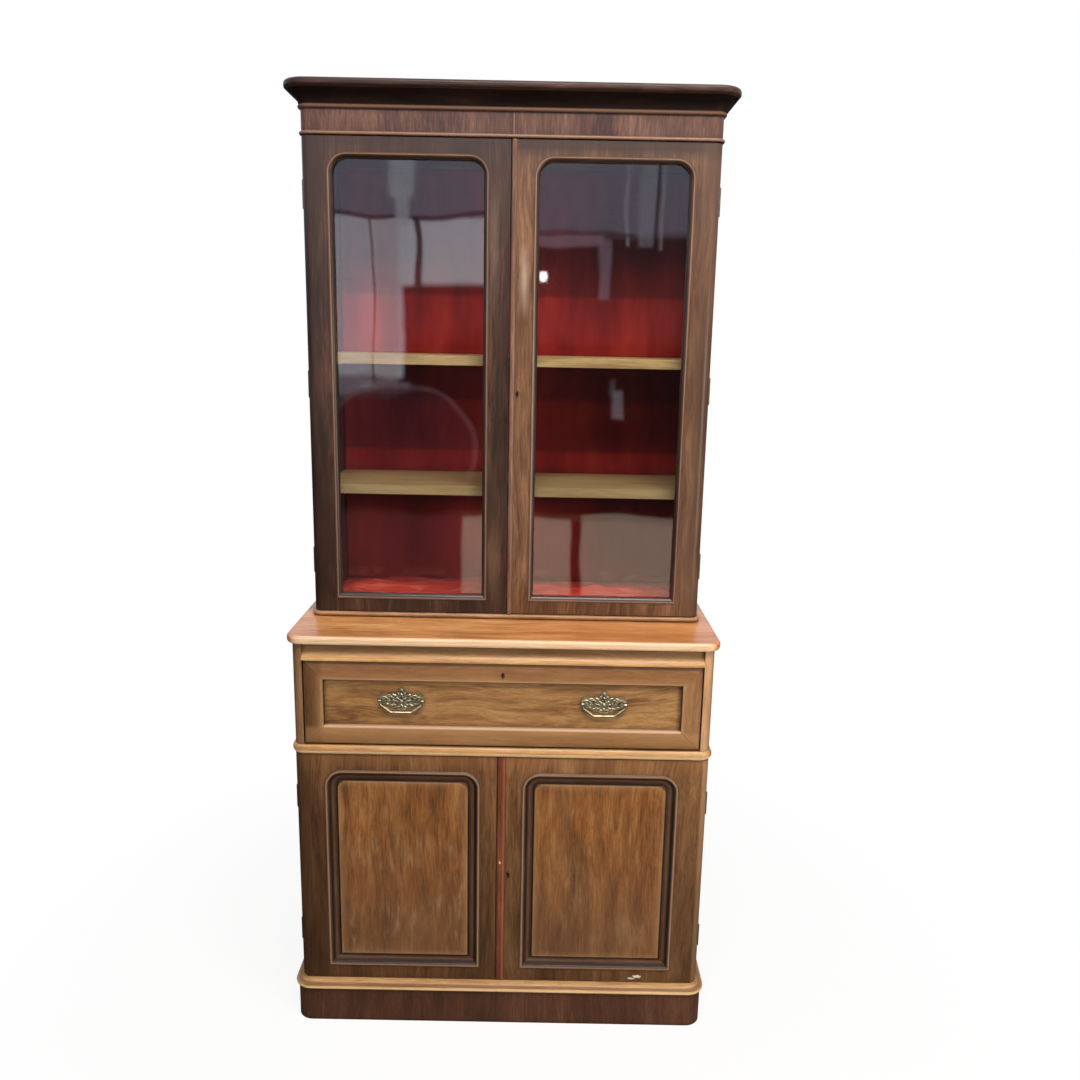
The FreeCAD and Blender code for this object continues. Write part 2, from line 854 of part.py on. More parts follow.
def cupboard_moulding(opening, face):
    """Bead and hollow round the raised field of a cupboard door."""
    bead = bulge(0, -panel_bead_foot, panel_bead_width, -panel_bead_foot, -panel_bead_proud + panel_bead_foot)
    hollow = bulge(panel_bead_width, panel_hollow_start, panel_moulding_width, panel_hollow_end,
                   panel_hollow_rise)
    steps = (bead, (panel_bead_width, panel_hollow_start), hollow,
             (panel_moulding_width, panel_rebate), (0, panel_rebate))
    return arched_moulding(opening, panel_corner, panel_moulding_width, face, (0, -panel_bead_foot), steps)


def cupboard_panel(opening, face):
    """Panel with a raised field that fills the space inside the moulding."""
    left, right, foot, head = opening
    board = box(left + panel_clearance, right - panel_clearance, face + panel_rebate, face + door_thickness,
                foot + panel_clearance, head - panel_clearance)
    inset = panel_moulding_width
    front = face + panel_field_depth
    wire = arched(left + inset, right - inset, foot + inset, head - inset, panel_corner - inset, front)
    field = prism(wire, V(0, panel_rebate - panel_field_depth, 0))
    rim = [edge for edge in field.Edges if edge.BoundBox.YMax < front + join_tolerance]
    return fuse(board, field.makeChamfer(panel_field_bevel, rim))


def cut_each(pieces, tools):
    """Take the tools out of every piece they reach, and leave the other pieces as they are."""
    done = []
    for piece in pieces:
        for tool in tools:
            if piece.BoundBox.intersect(tool.BoundBox):
                piece = piece.cut(tool)
        done.append(piece)
    return done


def keyhole(x, y_from, y_to, level):
    """Round hole with a slot under it, from the face to the lock."""
    bore = rod(V(x, y_from, level), V(x, y_to, level), keyhole_radius)
    slot = box(x - keyhole_slot / 2, x + keyhole_slot / 2, y_from, y_to, level - keyhole_drop, level)
    return bore.fuse(slot)


def door_lock(edge, inset, back, level):
    """Lock case let into the back of a right door, its bolt, and the room the bolt and key need."""
    width = inset + lock_beyond
    case = box(edge, edge + width, back - lock_depth, back, level - lock_height / 2, level + lock_height / 2)
    middle = back - lock_depth / 2
    start = edge + bolt_tip_back
    thick = door_bolt_thickness / 2
    tall = door_bolt_height / 2
    bolt = box(start, start + door_bolt_length, middle - thick, middle + thick, level - tall, level + tall)
    reach = bolt_travel + bolt_end_room
    room = box(start - reach, start + door_bolt_length + bolt_clearance, middle - thick - bolt_clearance,
               middle + thick + bolt_clearance, level - tall - bolt_clearance, level + tall + bolt_clearance)
    return case, case.cut(room), bolt, room


def slip_bolt(edge, stile, back, ceiling):
    """Plate with two loops on the back of a left door, and the rod that slides up through them."""
    place = slip_centre(edge, stile, back)
    tip = ceiling - slip_end_gap
    bolt_plate_top = tip - slip_plate_drop
    bolt_plate_low = bolt_plate_top - slip_plate_height
    half = slip_plate_width / 2
    plate = box(place.x - half, place.x + half, back, back + slip_plate_thickness, bolt_plate_low, bolt_plate_top)
    for low in (bolt_plate_low, bolt_plate_top - slip_loop_height):
        plate = plate.fuse(box(place.x - half, place.x + half, back, back + slip_loop_depth, low,
                               low + slip_loop_height))
    passage = rod(place + Z * (bolt_plate_low - overrun), place + Z * (bolt_plate_top + overrun),
                  slip_rod + bolt_clearance)
    knob_foot = place + Z * (tip - slip_knob_drop)
    knob = rod(knob_foot, knob_foot + Y * slip_knob_length, slip_knob)
    bolt = rod(place + Z * (tip - slip_length), place + Z * tip, slip_rod).fuse(knob)
    return plate.removeSplitter().cut(passage), bolt


def save_door(name, frame, fittings, filling, moulding, filling_name):
    save(name + "_door_frame", *frame)
    save(name + "_" + filling_name, filling)
    save(name + "_door_moulding", *moulding)
    save(name + "_door_fittings", *fittings)


def upper_doors(case_leaves):
    """Both glazed doors, with everything that hangs on them."""
    face = y_upper_face
    back = face + door_thickness
    foot = z_upper_door + upper_bottom_rail
    head = z_upper_door_top - upper_top_rail
    levels = upper_hinge_levels()
    edge = upper_meeting_gap / 2
    inner = half_upper - upper_outer_stile
    openings = {-1: (-inner, -edge - upper_left_inner_stile, foot, head),
                1: (edge + upper_right_inner_stile, inner, foot, head)}
    case, lock, bolt, room = door_lock(edge, upper_keyhole_inset, back, z_upper_keyhole)
    hole = keyhole(edge + upper_keyhole_inset, face - meeting_bead_proud, back - lock_depth, z_upper_keyhole)
    plate, slip = slip_bolt(-edge, upper_left_inner_stile, back, z_upper_ceiling)
    leaves = ((-1, "upper_left", [room], [plate]), (1, "upper_right", [case, hole], [lock]))
    for side, name, tools, extra in leaves:
        leaves, door_leaves = hinge_leaves(side, half_upper, y_upper_case, levels, upper_hinge_height)
        case_leaves += leaves
        pockets = [hinge_pocket(side, half_upper, back, -hinge_leaf, level, upper_hinge_height)
                   for level in levels]
        frame = door_frame(side * half_upper, side * edge, face, z_upper_door, z_upper_door_top, upper_corner,
                           openings[side], glazing_corner, glazing_rebate)
        save_door(name, cut_each(frame, pockets + tools), door_leaves + extra, pane(openings[side], face),
                  glazing(openings[side], face), "glass")
    low, high = (z_upper_door, z_upper_door_top)
    section = outline(lambda a, b: V(edge + a, face - b, low),
                      *((0, 0), (0, meeting_bead_flat),
                        bulge(0, meeting_bead_flat, meeting_bead_width, meeting_bead_flat,
                              meeting_bead_proud - meeting_bead_flat), (meeting_bead_width, 0)))
    save("upper_meeting_bead", prism(section, V(0, 0, high - low)))
    save("upper_lock_bolt", bolt)
    save("upper_slip_bolt", slip)


def lower_doors(case_leaves):
    """Both cupboard doors, with everything that hangs on them."""
    face = y_lower_face
    back = face + door_thickness
    foot = z_lower_door + lower_bottom_rail
    head = z_lower_door_top - lower_top_rail
    levels = lower_hinge_levels()
    strip_right = meeting_strip_left + meeting_strip_width
    left_edge = meeting_strip_left - lower_meeting_gap
    inner = half_lower - lower_outer_stile
    openings = {-1: (-inner, left_edge - lower_inner_stile, foot, head),
                1: (strip_right + lower_inner_stile, inner, foot, head)}
    edges = {-1: left_edge, 1: strip_right}
    case, lock, bolt, room = door_lock(meeting_strip_left, lower_keyhole_inset, back, z_lower_keyhole)
    hole = keyhole(meeting_strip_left + lower_keyhole_inset, face - overrun, back - lock_depth,
                   z_lower_keyhole)
    plate, slip = slip_bolt(left_edge, lower_inner_stile, back, z_waist)
    leaves = ((-1, "lower_left", [room], [plate]), (1, "lower_right", [case, hole], [lock]))
    for side, name, tools, extra in leaves:
        leaves, door_leaves = hinge_leaves(side, half_lower, y_lower_case, levels, lower_hinge_height)
        case_leaves += leaves
        pockets = [hinge_pocket(side, half_lower, back, -hinge_leaf, level, lower_hinge_height)
                   for level in levels]
        frame = door_frame(side * half_lower, edges[side], face, z_lower_door, z_lower_door_top, lower_corner,
                           openings[side], panel_corner, panel_rebate)
        save_door(name, cut_each(frame, pockets + tools), door_leaves + extra,
                  cupboard_panel(openings[side], face), [cupboard_moulding(openings[side], face)], "panel")
    strip = box(meeting_strip_left, strip_right, face - meeting_strip_proud, back,
                z_lower_door, z_lower_door_top)
    save("lower_meeting_strip", *cut_each([strip], [case, hole]))
    save("lower_lock_bolt", bolt)
    save("lower_slip_bolt", slip)


# Secretaire drawer
fall_half = half_lower - lower_corner - fall_side_gap
y_fall = y_lower_face + fall_face
y_hinge = y_fall + fall_board
z_hinge = z_fall + fall_hinge_rise
side_out = in_lower - drawer_guide
side_in = side_out - drawer_side
y_side = y_hinge + drawer_front_gap
y_drawer_end = y_back_board - drawer_end_room
y_inner_end = y_drawer_end - drawer_back
y_floor = y_hinge + drawer_floor_setback
z_side = z_hinge - drawer_floor - drawer_side_lip
z_side_top = z_fall_top - drawer_side_drop


def drawer_runners():
    """Runners under the drawer, guides beside it and kickers over it, all fixed to the case."""
    pieces = []
    runner_top = z_side - slide_clearance
    runner = box(side_in, in_lower, y_lower_case + guide_front, y_back_board, z_dust_top, runner_top)
    guide = box(side_out + slide_clearance, in_lower, y_lower_case + guide_front, y_back_board, runner_top,
                runner_top + guide_height)
    kicker_low = z_side_top + slide_clearance
    kicker = box(side_in, in_lower, y_lower_case + kicker_front, y_back_board, kicker_low,
                 kicker_low + kicker_height)
    for piece in (runner, guide, kicker):
        pieces += [piece, mirrored(piece)]
    return pieces


def quadrant_sector(half_width, half_thickness, tail_degrees, x):
    """Quarter ring about the hinge line, carried a little below it by its tail."""
    centre = V(x - half_thickness, y_hinge, z_hinge)
    outer = Part.makeCylinder(quadrant_radius + half_width, half_thickness + half_thickness, centre, X)
    hollow = Part.makeCylinder(quadrant_radius - half_width, half_thickness + half_thickness, centre, X)
    reach = quadrant_radius + half_width + overrun
    wedge = outline(lambda a, b: V(x - half_thickness, y_hinge + a, z_hinge + b), (0, 0), (0, reach),
                    (reach, reach), (reach, -reach * math.tan(math.radians(tail_degrees))))
    return outer.cut(hollow).common(prism(wedge, X * (half_thickness + half_thickness)))


def dovetails(level_low, level_high):
    """Tails at the back end of the right drawer side."""
    pitch = (level_high - level_low) / dovetail_count
    tails = []
    for i in range(dovetail_count):
        middle = level_low + pitch / 2 + i * pitch
        narrow = pitch * dovetail_narrow_share / 2
        wide = pitch * dovetail_wide_share / 2
        tail = outline(lambda a, b: V(side_in, a, b), (y_inner_end, middle - narrow),
                       (y_drawer_end, middle - wide), (y_drawer_end, middle + wide),
                       (y_inner_end, middle + narrow))
        tails.append(prism(tail, X * drawer_side))
    return tails


def drawer_box():
    side = box(side_in, side_out, y_side, y_inner_end, z_side, z_side_top)
    side = side.cut(box(side_in, side_out, y_side, y_floor, z_side, z_hinge + slide_clearance))
    side = side.cut(box(side_in, side_in + groove_depth, y_side, y_inner_end, z_side, z_hinge))
    middle = (side_in + side_out) / 2
    half_slot = quadrant_thickness / 2 + quadrant_slot
    slot = quadrant_sector(quadrant_width / 2 + quadrant_slot, half_slot,
                           quadrant_tail_degrees + quadrant_room_degrees, middle)
    back_top = z_side_top - drawer_back_drop
    tails = dovetails(z_hinge, back_top)
    side = fuse(side.cut(slot), *tails)
    left = mirrored(side)
    back = box(-side_out, side_out, y_inner_end, y_drawer_end, z_hinge, back_top)
    for tail in tails:
        back = back.cut(tail).cut(mirrored(tail))
    reach = side_in + groove_depth
    floor = box(-reach, reach, y_floor, y_inner_end, z_hinge - drawer_floor, z_hinge)
    return side, left, back, cut_each([floor], fall_leaf_pockets())[0]


def fall_hinge_places():
    """Left end of each hinge of the fall."""
    return [middle - fall_hinge_length / 2 for middle in (-fall_hinge_spread, 0, fall_hinge_spread)]


def fall_leaf_pockets():
    """Pocket in the drawer's floor for the fixed leaf of each hinge of the fall."""
    return [box(x, x + fall_hinge_length, y_floor - overrun, y_floor + fall_leaf_width,
                z_hinge - fall_leaf, z_hinge) for x in fall_hinge_places()]


def flap_hinge(x):
    """Drawer leaf with its pin, and fall leaf, of one brass flap hinge."""
    end = x + fall_hinge_length
    third = fall_hinge_length / 3
    centre = V(x, y_hinge, z_hinge)
    barrel = Part.makeCylinder(fall_knuckle, fall_hinge_length, centre, X)
    clear = Part.makeCylinder(fall_knuckle + hinge_knuckle_gap, fall_hinge_length, centre, X)
    far = fall_leaf_width + fall_leaf_width
    gap = box(x + third, end - third, y_hinge - far, y_hinge + far, z_hinge - far, z_hinge + far)
    middle = box(x + third + hinge_knuckle_gap, end - third - hinge_knuckle_gap, y_hinge - far, y_hinge + far,
                 z_hinge - far, z_hinge + far)
    drawer_leaf = box(x, end, y_hinge, y_floor + fall_leaf_width, z_hinge - fall_leaf, z_hinge)
    pin = Part.makeCylinder(fall_pin, fall_hinge_length, centre, X)
    drawer_leaf = fuse(drawer_leaf.cut(clear.common(gap)), barrel.cut(gap), pin)
    fall_leaf_solid = box(x, end, y_hinge - fall_leaf, y_hinge, z_hinge, z_hinge + fall_leaf_width)
    fall_leaf_solid = fuse(fall_leaf_solid.cut(clear.cut(middle)), barrel.common(middle))
    bore = Part.makeCylinder(fall_pin + pin_clearance, fall_hinge_length, centre, X)
    return drawer_leaf, fall_leaf_solid.cut(bore)


# Fall front
def quadrant_plates():
    """Seat of each quadrant's plate in the back of the fall, on the right side."""
    middle = (side_in + side_out) / 2
    half = quadrant_plate_width / 2
    top = z_hinge + quadrant_radius + quadrant_width
    return box(middle - half, middle + half, y_hinge - quadrant_plate_thickness, y_hinge,
               top - quadrant_plate_height, top)


def fall_lock():
    """Lock case in the back of the fall, its bolt, and the room that the bolt needs."""
    half = fall_lock_width / 2
    case = box(-half, half, y_hinge - fall_lock_depth, y_hinge, z_fall_top - fall_lock_height, z_fall_top)
    middle = fall_bolt_depth()
    wide = fall_bolt_width / 2
    thick = fall_bolt_thickness / 2
    tip = z_fall_top - bolt_tip_back
    bolt = box(-wide, wide, middle - thick, middle + thick, tip - fall_bolt_length, tip)
    room = box(-wide - bolt_clearance, wide + bolt_clearance, middle - thick - bolt_clearance,
               middle + thick + bolt_clearance, tip - fall_bolt_length - bolt_clearance, z_fall_top)
    return case, case.cut(room), bolt


def leather_panel():
    half = fall_half - leather_side
    return box(-half, half, y_hinge - leather_thickness, y_hinge,
               z_fall + leather_foot, z_fall_top - leather_top)


def fall_front(lock_case, hole):
    board = box(-fall_half, fall_half, y_fall, y_hinge, z_fall, z_fall_top)
    plate = quadrant_plates()
    tools = [lock_case, hole, leather_panel(), plate, mirrored(plate)]
    for x in fall_hinge_places():
        hollow = Part.makeCylinder(fall_hinge_recess, fall_hinge_length + hinge_recess + hinge_recess,
                                   V(x - hinge_recess, y_hinge, z_hinge), X)
        tools.append(hollow)
        tools.append(box(x, x + fall_hinge_length, y_hinge - fall_leaf, y_hinge,
                         z_hinge, z_hinge + fall_leaf_width))
    return cut_each([board], tools)[0]


def fall_moulding(hole):
    """Raised frame of the fall: it rises from a thin outer edge to a rounded inner lip."""
    crest = frame_width - frame_lip_width
    steps = (
        bulge(0, frame_edge, crest, frame_lip, -frame_crown),
        (frame_width - frame_step_round, frame_lip),
        bulge(frame_width - frame_step_round, frame_lip, frame_width, frame_lip + frame_step_round,
              -frame_step_round * round_share),
        (frame_width, fall_face),
        (0, fall_face),
    )
    strips = mitred_frame(-fall_half, fall_half, z_fall, z_fall_top, frame_width, y_lower_face,
                          (0, frame_edge), steps)
    return cut_each(strips, [hole])


def fall_fittings(lock, leaves):
    """Lock, fall leaves of the hinges, and both quadrant stays on their plates."""
    middle = (side_in + side_out) / 2
    stay = quadrant_sector(quadrant_width / 2, quadrant_thickness / 2, quadrant_tail_degrees, middle)
    right = fuse(quadrant_plates(), stay)
    return [lock, right, mirrored(right)] + leaves


# Pigeonholes and small drawers inside the secretaire
nest_half = side_in - nest_side_gap
y_nest = y_hinge + nest_setback
y_nest_end = y_inner_end - nest_back_gap
z_nest_top = z_side_top - nest_top_drop
z_row = z_hinge + nest_board
z_row_top = z_row + drawer_row_height
z_holes = z_row_top + nest_board
z_holes_top = z_nest_top - nest_board
nest_inner = nest_half - nest_board
bay_width = (nest_inner + nest_inner - nest_board * (small_drawer_count - 1)) / small_drawer_count
hole_width = (nest_inner + nest_inner - nest_board * (pigeonhole_count - 1)) / pigeonhole_count


def nest():
    """Thin boards of the pigeonholes, their shaped partitions and the arched valance."""
    y_in = y_nest_end - nest_board
    pieces = [
        box(-nest_half, nest_half, y_nest, y_in, z_hinge, z_row),
        box(-nest_inner, nest_inner, y_nest, y_in, z_row_top, z_holes),
        box(-nest_half, nest_half, y_nest, y_in, z_holes_top, z_nest_top),
        box(-nest_half, -nest_inner, y_nest, y_in, z_row, z_holes_top),
        box(nest_inner, nest_half, y_nest, y_in, z_row, z_holes_top),
        box(-nest_half, nest_half, y_in, y_nest_end, z_hinge, z_nest_top),
    ]
    for i in range(1, small_drawer_count):
        left = i * (bay_width + nest_board) - nest_board - nest_inner
        pieces.append(box(left, left + nest_board, y_nest, y_in, z_row, z_row_top))
    front = y_nest + partition_setback + valance_thickness
    for i in range(1, pigeonhole_count):
        left = i * (hole_width + nest_board) - nest_board - nest_inner
        shape = outline(lambda a, b: V(left, a, b), (front, z_holes),
                        bulge(front, z_holes, front, z_holes_top, -partition_scoop),
                        (y_in, z_holes_top), (y_in, z_holes))
        pieces.append(prism(shape, X * nest_board))
    pieces.append(valance(front - valance_thickness))
    return pieces


def valance(front):
    """Strip under the top board with a low arch over each pigeonhole."""
    low = z_holes_top - valance_height
    steps = []
    for i in range(pigeonhole_count):
        left = i * (hole_width + nest_board) - nest_inner
        right = left + hole_width
        steps += [(left, low), bulge(left, low, right, low, valance_height - valance_drop)]
    strip = outline(lambda a, b: V(a, front, b), (-nest_inner, z_holes_top), *steps, (nest_inner, low),
                    (nest_inner, z_holes_top))
    return prism(strip, Y * valance_thickness)


def small_drawer(i):
    """One small drawer: front, sides, back, floor and its turned knob."""
    left = i * (bay_width + nest_board) - nest_inner + small_gap
    right = left + bay_width - small_gap - small_gap
    low = z_row + small_gap
    high = z_row_top - small_gap
    front = y_nest + small_front_setback
    inner = front + small_front
    end = y_nest_end - nest_board - small_back_gap
    side_high = high - small_side_drop
    middle = (left + right) / 2
    level = (low + high) / 2
    tip = front - small_knob_length
    turned = outline(
        lambda a, b: V(middle + a, b, level),
        (0, front),
        (small_knob_neck, front),
        bulge(small_knob_neck, front, small_knob_neck, tip + small_knob,
              small_knob_neck * small_knob_round_share),
        (small_knob, tip + small_knob / 2, small_knob_neck / 2, tip),
        (0, tip),
    )
    knob = Part.Face(turned).revolve(V(middle, 0, level), Y, full_turn)
    return [
        box(left, right, front, inner, low, high),
        box(left, left + small_side, inner, end, low, side_high),
        box(right - small_side, right, inner, end, low, side_high),
        box(left + small_side, right - small_side, end - small_side, end, low, side_high),
        box(left + small_side, right - small_side, inner, end - small_side, low, low + small_floor),
        knob,
    ]


# Drop handles
y_plate = y_fall - plate_thickness
y_post_tip = y_plate - post_length
y_bail = y_post_tip + post_end


def handle_plate(middle):
    """Lobed, pierced backplate with a cusp on top, and two posts with a cross hole each."""
    def spot(across, up):
        return across * plate_half_width, up * (plate_top if up > 0 else plate_bottom)

    runs = []
    for (across, up, before), (next_across, next_up, rise) in zip(plate_shares, plate_shares[1:]):
        runs.append((*spot(across, up), *spot(next_across, next_up), rise * plate_top))
    steps = [bulge(a0, b0, a1, b1, rise) for a0, b0, a1, b1, rise in runs]
    steps += [bulge(-a1, b1, -a0, b0, rise) for a0, b0, a1, b1, rise in reversed(runs)]
    wire = outline(lambda a, b: V(middle + a, y_plate, z_handle + b), (0, plate_top), *steps)
    plate = prism(wire, Y * plate_thickness)
    for across, up, size in piercing_shares:
        a, b = spot(across, up)
        hole = rod(V(middle + a, y_plate - overrun, z_handle + b),
                   V(middle + a, y_plate + plate_thickness + overrun, z_handle + b), size * plate_top)
        plate = plate.cut(hole)
    for side in (-1, 1):
        x = middle + side * post_spread
        post = rod(V(x, y_plate, z_handle), V(x, y_post_tip, z_handle), post_radius)
        bore = rod(V(x - plate_top, y_bail, z_handle), V(x + plate_top, y_bail, z_handle),
                   bail_pin + pin_clearance)
        plate = plate.fuse(post.cut(bore))
    return plate


def rounded_path(points, radius):
    """Straight runs through the points, joined by arcs of one radius that touch both runs."""
    edges = []
    here = points[0]
    for before, corner, after in zip(points, points[1:], points[2:]):
        back = (before - corner).normalize()
        onward = (after - corner).normalize()
        half_angle = back.getAngle(onward) / 2
        cut = radius / math.tan(half_angle)
        start = corner + back * cut
        end = corner + onward * cut
        inward = (back + onward).normalize()
        middle = corner + inward * (radius / math.sin(half_angle) - radius)
        edges.append(Part.LineSegment(here, start).toShape())
        edges.append(Part.Arc(start, middle, end).toShape())
        here = end
    edges.append(Part.LineSegment(here, points[-1]).toShape())
    return Part.Wire(edges)


def bail(middle):
    """Swinging bail: a bent rod whose turned-in ends sit in the posts."""
    arm = post_spread + post_radius + bail_arm_gap + bail_radius
    places = ((arm, 0), (arm, -bail_knee), (bail_grip_half, -bail_drop), (-bail_grip_half, -bail_drop),
              (-arm, -bail_knee), (-arm, 0))
    points = [V(middle + a, y_bail, z_handle + b) for a, b in places]
    section = Part.Wire(Part.makeCircle(bail_radius, points[0], Z))
    loop = rounded_path(points, bail_bend).makePipeShell([section], True, False)
    parts = []
    for side in (-1, 1):
        outer = middle + side * (arm + bail_radius)
        inner = middle + side * (arm - bail_radius)
        parts.append(rod(V(outer, y_bail, z_handle), V(inner, y_bail, z_handle), bail_radius))
        parts.append(rod(V(inner, y_bail, z_handle), V(inner - side * bail_pin_length, y_bail, z_handle),
                         bail_pin))
    return loop.fuse(parts)


# Write every node
os.makedirs("parts", exist_ok=True)
case_leaves = []
save("upper_case_sides", *upper_sides())
save("upper_case_boards", *upper_boards())
save("upper_back_boards", *back_boards(in_upper + back_rebate, z_desk, z_top_board))
save("bookcase_lining", *lining())
save("bookcase_shelves", *shelves())
save("shelf_pegs", *shelf_pegs())
save("frieze", *frieze())
save("cornice", *cornice())
save("cornice_top_board", cornice_top())
save("upper_base_moulding", *base_moulding())
upper_doors(case_leaves)
save("lower_case_sides", *lower_sides())
save("lower_back_boards", *back_boards(in_lower + back_rebate, z_plinth, z_slab))
save("cupboard_floor", box(-in_lower, in_lower, y_lower_case, y_back_board,
                           z_floor - board_thickness, z_floor))
save("cupboard_shelf", *cupboard_shelf())
save("dust_board", dust_board())
save("desk_top", *desk_top())
save("fascia_rail", fascia_rail())
save("corner_columns", corner_columns())
save("waist_moulding", *waist_moulding())
save("plinth", *plinth())
save("plinth_moulding", *plinth_moulding())
save("drawer_runners", *drawer_runners())
lower_doors(case_leaves)
save("hinge_case_leaves", *case_leaves)
flap_hinges = [flap_hinge(x) for x in fall_hinge_places()]
lock_case, lock_body, lock_bolt = fall_lock()
fall_keyhole = keyhole(0, y_lower_face - overrun, y_hinge - fall_lock_depth, z_fall_top - fall_keyhole_drop)
save("secretaire_drawer_box", *drawer_box())
save("drawer_hinge_leaves", *[pair[0] for pair in flap_hinges])
save("pigeonhole_unit", *nest())
for i in range(small_drawer_count):
    save("small_drawer_" + str(i + 1), *small_drawer(i))
save("fall_front", fall_front(lock_case, fall_keyhole))
save("fall_moulding", *fall_moulding(fall_keyhole))
save("fall_leather", leather_panel())
save("fall_fittings", *fall_fittings(lock_body, [pair[1] for pair in flap_hinges]))
save("fall_lock_bolt", lock_bolt)
save("handle_plates", handle_plate(-handle_spread), handle_plate(handle_spread))
save("left_bail", bail(-handle_spread))
save("right_bail", bail(handle_spread))
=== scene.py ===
import bpy
import bmesh
import math
import random
from mathutils import Matrix, Vector


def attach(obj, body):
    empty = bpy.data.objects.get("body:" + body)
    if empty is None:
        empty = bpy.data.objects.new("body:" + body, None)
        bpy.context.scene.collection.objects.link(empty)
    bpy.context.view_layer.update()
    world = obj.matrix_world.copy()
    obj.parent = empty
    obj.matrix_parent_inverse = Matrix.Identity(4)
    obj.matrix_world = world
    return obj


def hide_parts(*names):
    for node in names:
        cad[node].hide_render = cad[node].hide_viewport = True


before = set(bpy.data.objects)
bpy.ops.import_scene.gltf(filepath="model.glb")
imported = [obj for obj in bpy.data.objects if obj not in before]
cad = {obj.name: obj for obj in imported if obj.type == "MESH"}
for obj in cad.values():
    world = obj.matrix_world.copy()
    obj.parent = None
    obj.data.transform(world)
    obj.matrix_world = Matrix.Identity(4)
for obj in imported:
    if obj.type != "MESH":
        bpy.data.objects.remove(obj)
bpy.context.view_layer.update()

# Camera
# A phone held at standing height in front of the piece, tilted down a little and turned by a degree.
camera_data = bpy.data.cameras.new("camera")
camera = bpy.data.objects.new("camera", camera_data)
bpy.context.scene.collection.objects.link(camera)
camera_data.sensor_width = 36.0
camera_data.lens = 30.957
camera_data.shift_x = 0.00065
camera_data.shift_y = -0.0052
camera_data.clip_start = 0.05
camera_data.clip_end = 60.0
camera.matrix_world = (
    Matrix.Translation((0.0759, -2.3047, 1.7054))
    @ Matrix.Rotation(math.radians(-0.09), 4, "Z")
    @ Matrix.Rotation(math.radians(78.14), 4, "X")
    @ Matrix.Rotation(math.radians(1.11), 4, "Z")
)
bpy.context.scene.camera = camera
bpy.context.scene.view_settings.view_transform = "Standard"


# Studio
# A white sweep under the piece and white air round it, a large soft box high in front and two at the
# sides. Glass and polish mirror surroundings that are dim below eye level and slate grey above it, with a
# tall patch of pale light on the left.
def linear(colour):
    """An sRGB hex colour as linear red, green, blue and alpha."""
    channels = [int(colour[i:i + 2], 16) / 255 for i in (1, 3, 5)]
    return tuple(c / 12.92 if c <= 0.04045 else ((c + 0.055) / 1.055) ** 2.4 for c in channels) + (1.0,)


def add(tree, kind, inputs=None, stops=None, **settings):
    """Adds a node with its settings, its colour stops, and its inputs as values, nodes or sockets."""
    node = tree.nodes.new("ShaderNode" + kind)
    for name, value in settings.items():
        setattr(node, name, value)
    if stops:
        elements = node.color_ramp.elements
        while len(elements) < len(stops):
            elements.new(1.0)
        for element, (place, colour) in zip(elements, stops):
            element.position = place
            element.color = colour
    for socket, value in (inputs or {}).items():
        if isinstance(value, bpy.types.Node):
            value = value.outputs[0]
        if isinstance(value, bpy.types.NodeSocket):
            tree.links.new(value, node.inputs[socket])
        else:
            node.inputs[socket].default_value = value
    return node


def laid_over(tree, colour, mask, amount, tint):
    """A colour with a tint laid over it where the mask is 1, by the amount given."""
    share = add(tree, "Math", {0: mask, 1: amount}, operation="MULTIPLY")
    return add(tree, "MixRGB", {0: share, 1: colour, 2: linear(tint)})


def within(tree, value, low, high, soft):
    """1 between two places along an axis, fading to 0 over a soft edge."""
    enters = add(tree, "MapRange", {0: value, 1: low - soft, 2: low + soft})
    leaves = add(tree, "MapRange", {0: value, 1: high + soft, 2: high - soft})
    return add(tree, "Math", {0: enters, 1: leaves}, operation="MULTIPLY")


def ray_kinds(tree):
    """1 for rays that see the plain white studio, and 1 for rays that are mirrored by the piece."""
    rays = add(tree, "LightPath").outputs
    seen = add(tree, "Math", {0: rays["Is Camera Ray"], 1: rays["Is Transmission Ray"]}, operation="MAXIMUM")
    return seen, add(tree, "Math", {0: rays["Glossy Depth"], 1: 0.5}, operation="GREATER_THAN")


def material(name):
    """A new node material with only its output, and the tree to build it in."""
    made = bpy.data.materials.new(name)
    made.use_nodes = True
    made.node_tree.nodes.clear()
    return made, made.node_tree


world = bpy.data.worlds.new("studio_air")
bpy.context.scene.world = world
world.use_nodes = True
air = world.node_tree
air.nodes.clear()
seen, mirrored = ray_kinds(air)
heading = add(air, "TexCoord").outputs["Generated"]
drift = add(air, "TexNoise", {"Vector": heading, "Scale": 9.0, "Detail": 2.0})
sideways, ahead, rise = add(air, "SeparateXYZ", {0: heading}).outputs
height = add(air, "Math", {0: drift, 1: 0.02, 2: rise}, operation="MULTIPLY_ADD")
across = add(air, "Math", {0: drift, 1: 0.01, 2: sideways}, operation="MULTIPLY_ADD")
facing = add(air, "MapRange", {0: ahead, 1: -0.5, 2: -0.7})
mirrored_air = add(air, "ValToRGB", {0: height}, stops=[
    (0.0, linear("#1e1d1e")), (0.02, linear("#38383c")), (0.110, linear("#38383c")),
    (0.119, linear("#8c8ea0")), (0.5, linear("#a6a8b6"))])
